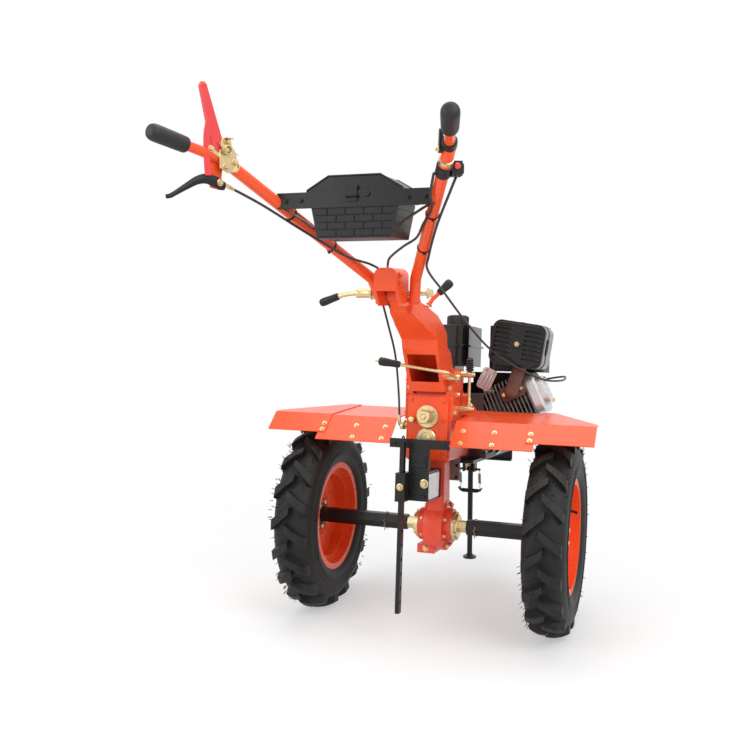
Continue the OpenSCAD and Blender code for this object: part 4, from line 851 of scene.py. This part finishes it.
zinc.add(ferrule, AXLE @ put((-90, 83.3, 309), (-8, 0.7, 98)))
hzinc.add(ferrule, AXLE @ put((-811, 249, 923.4), (97.6, -43.7, -37)))
zinc.add(ferrule, AXLE @ put((-207, 52, 597), (-45, 6.2, 55)))
for batch in trims.values():
    batch.done()


# Floor and light
def background_rays(t):
    """1 for the rays that show the background: the camera's own and those in gloss and glass."""
    rays = t.nodes.new("ShaderNodeLightPath")
    direct = math_node(t, "MAXIMUM", rays.outputs["Is Camera Ray"], rays.outputs["Is Glossy Ray"])
    return math_node(t, "MAXIMUM", direct, rays.outputs["Is Transmission Ray"])


WHITE, BACKDROP, DAYLIGHT = (1, 1, 1, 1), 1.0, 0.62
FLOOR, FLOOR_TONES = 14, ((0.93, 0.93, 0.93), (0.95, 0.95, 0.95))
# From where to where the floor fades, in metres from the middle, and the backdrop's share at both ends
FADE = (0.7, 2.2, 0.40, 1.0)
floor_mesh = bpy.data.meshes.new("floor")
corners = [(-FLOOR, -FLOOR, 0), (FLOOR, -FLOOR, 0), (FLOOR, FLOOR, 0), (-FLOOR, FLOOR, 0)]
floor_mesh.from_pydata(corners, [], [(0, 1, 2, 3)])
floor = bpy.data.objects.new("floor", floor_mesh)
bpy.context.scene.collection.objects.link(floor)
floor_material, tree, floor_shader = new_material("floor")
floor_shader.inputs["Roughness"].default_value = 0.9
floor_shader.inputs["Specular IOR Level"].default_value = 0.1
place = tree.nodes.new("ShaderNodeTexCoord").outputs["Object"]
tone = noise(tree, place, 0.8, 2)
tree.links.new(mix(tree, tone, *FLOOR_TONES), floor_shader.inputs["Base Color"])
# Seen straight on or in gloss, the floor fades to the white of the backdrop and keeps its shadow near the part
reach = tree.nodes.new("ShaderNodeVectorMath")
reach.operation = "LENGTH"
tree.links.new(place, reach.inputs[0])
glow = tree.nodes.new("ShaderNodeEmission")
glow.inputs["Color"].default_value = WHITE
glow.inputs["Strength"].default_value = BACKDROP
share = math_node(tree, "MULTIPLY", spread(tree, reach.outputs["Value"], *FADE), background_rays(tree))
blend = tree.nodes.new("ShaderNodeMixShader")
tree.links.new(share, blend.inputs[0])
tree.links.new(floor_shader.outputs[0], blend.inputs[1])
tree.links.new(glow.outputs[0], blend.inputs[2])
tree.links.new(blend.outputs[0], [n for n in tree.nodes if n.type == "OUTPUT_MATERIAL"][0].inputs[0])
floor_mesh.materials.append(floor_material)

world = bpy.data.worlds.new("studio")
bpy.context.scene.world = world
world.use_nodes = True
wt = world.node_tree
wt.nodes.clear()
world_out = wt.nodes.new("ShaderNodeOutputWorld")
seen = wt.nodes.new("ShaderNodeBackground")
lighting = wt.nodes.new("ShaderNodeBackground")
for background, strength in ((seen, BACKDROP), (lighting, DAYLIGHT)):
    background.inputs["Color"].default_value = WHITE
    background.inputs["Strength"].default_value = strength
chosen = wt.nodes.new("ShaderNodeMixShader")
wt.links.new(background_rays(wt), chosen.inputs[0])
wt.links.new(lighting.outputs[0], chosen.inputs[1])
wt.links.new(seen.outputs[0], chosen.inputs[2])
wt.links.new(chosen.outputs[0], world_out.inputs[0])


def lamp(name, at, target, size, power):
    """A soft rectangular lamp that points at a target."""
    data = bpy.data.lights.new(name, "AREA")
    data.shape = "RECTANGLE"
    data.size, data.size_y = size
    data.energy = power
    obj = bpy.data.objects.new(name, data)
    bpy.context.scene.collection.objects.link(obj)
    obj.location = at
    obj.rotation_euler = (Vector(target) - Vector(at)).to_track_quat("-Z", "Y").to_euler()


lamp("key", (-1.8, -2.6, 3.0), (0, 0, 0.6), (2.4, 2.0), 62)
lamp("fill", (-2.6, 1.9, 1.9), (0, 0, 0.6), (2.0, 2.0), 34)
lamp("top", (0.4, 0.2, 3.6), (0.1, 0, 0.5), (2.6, 2.6), 50)
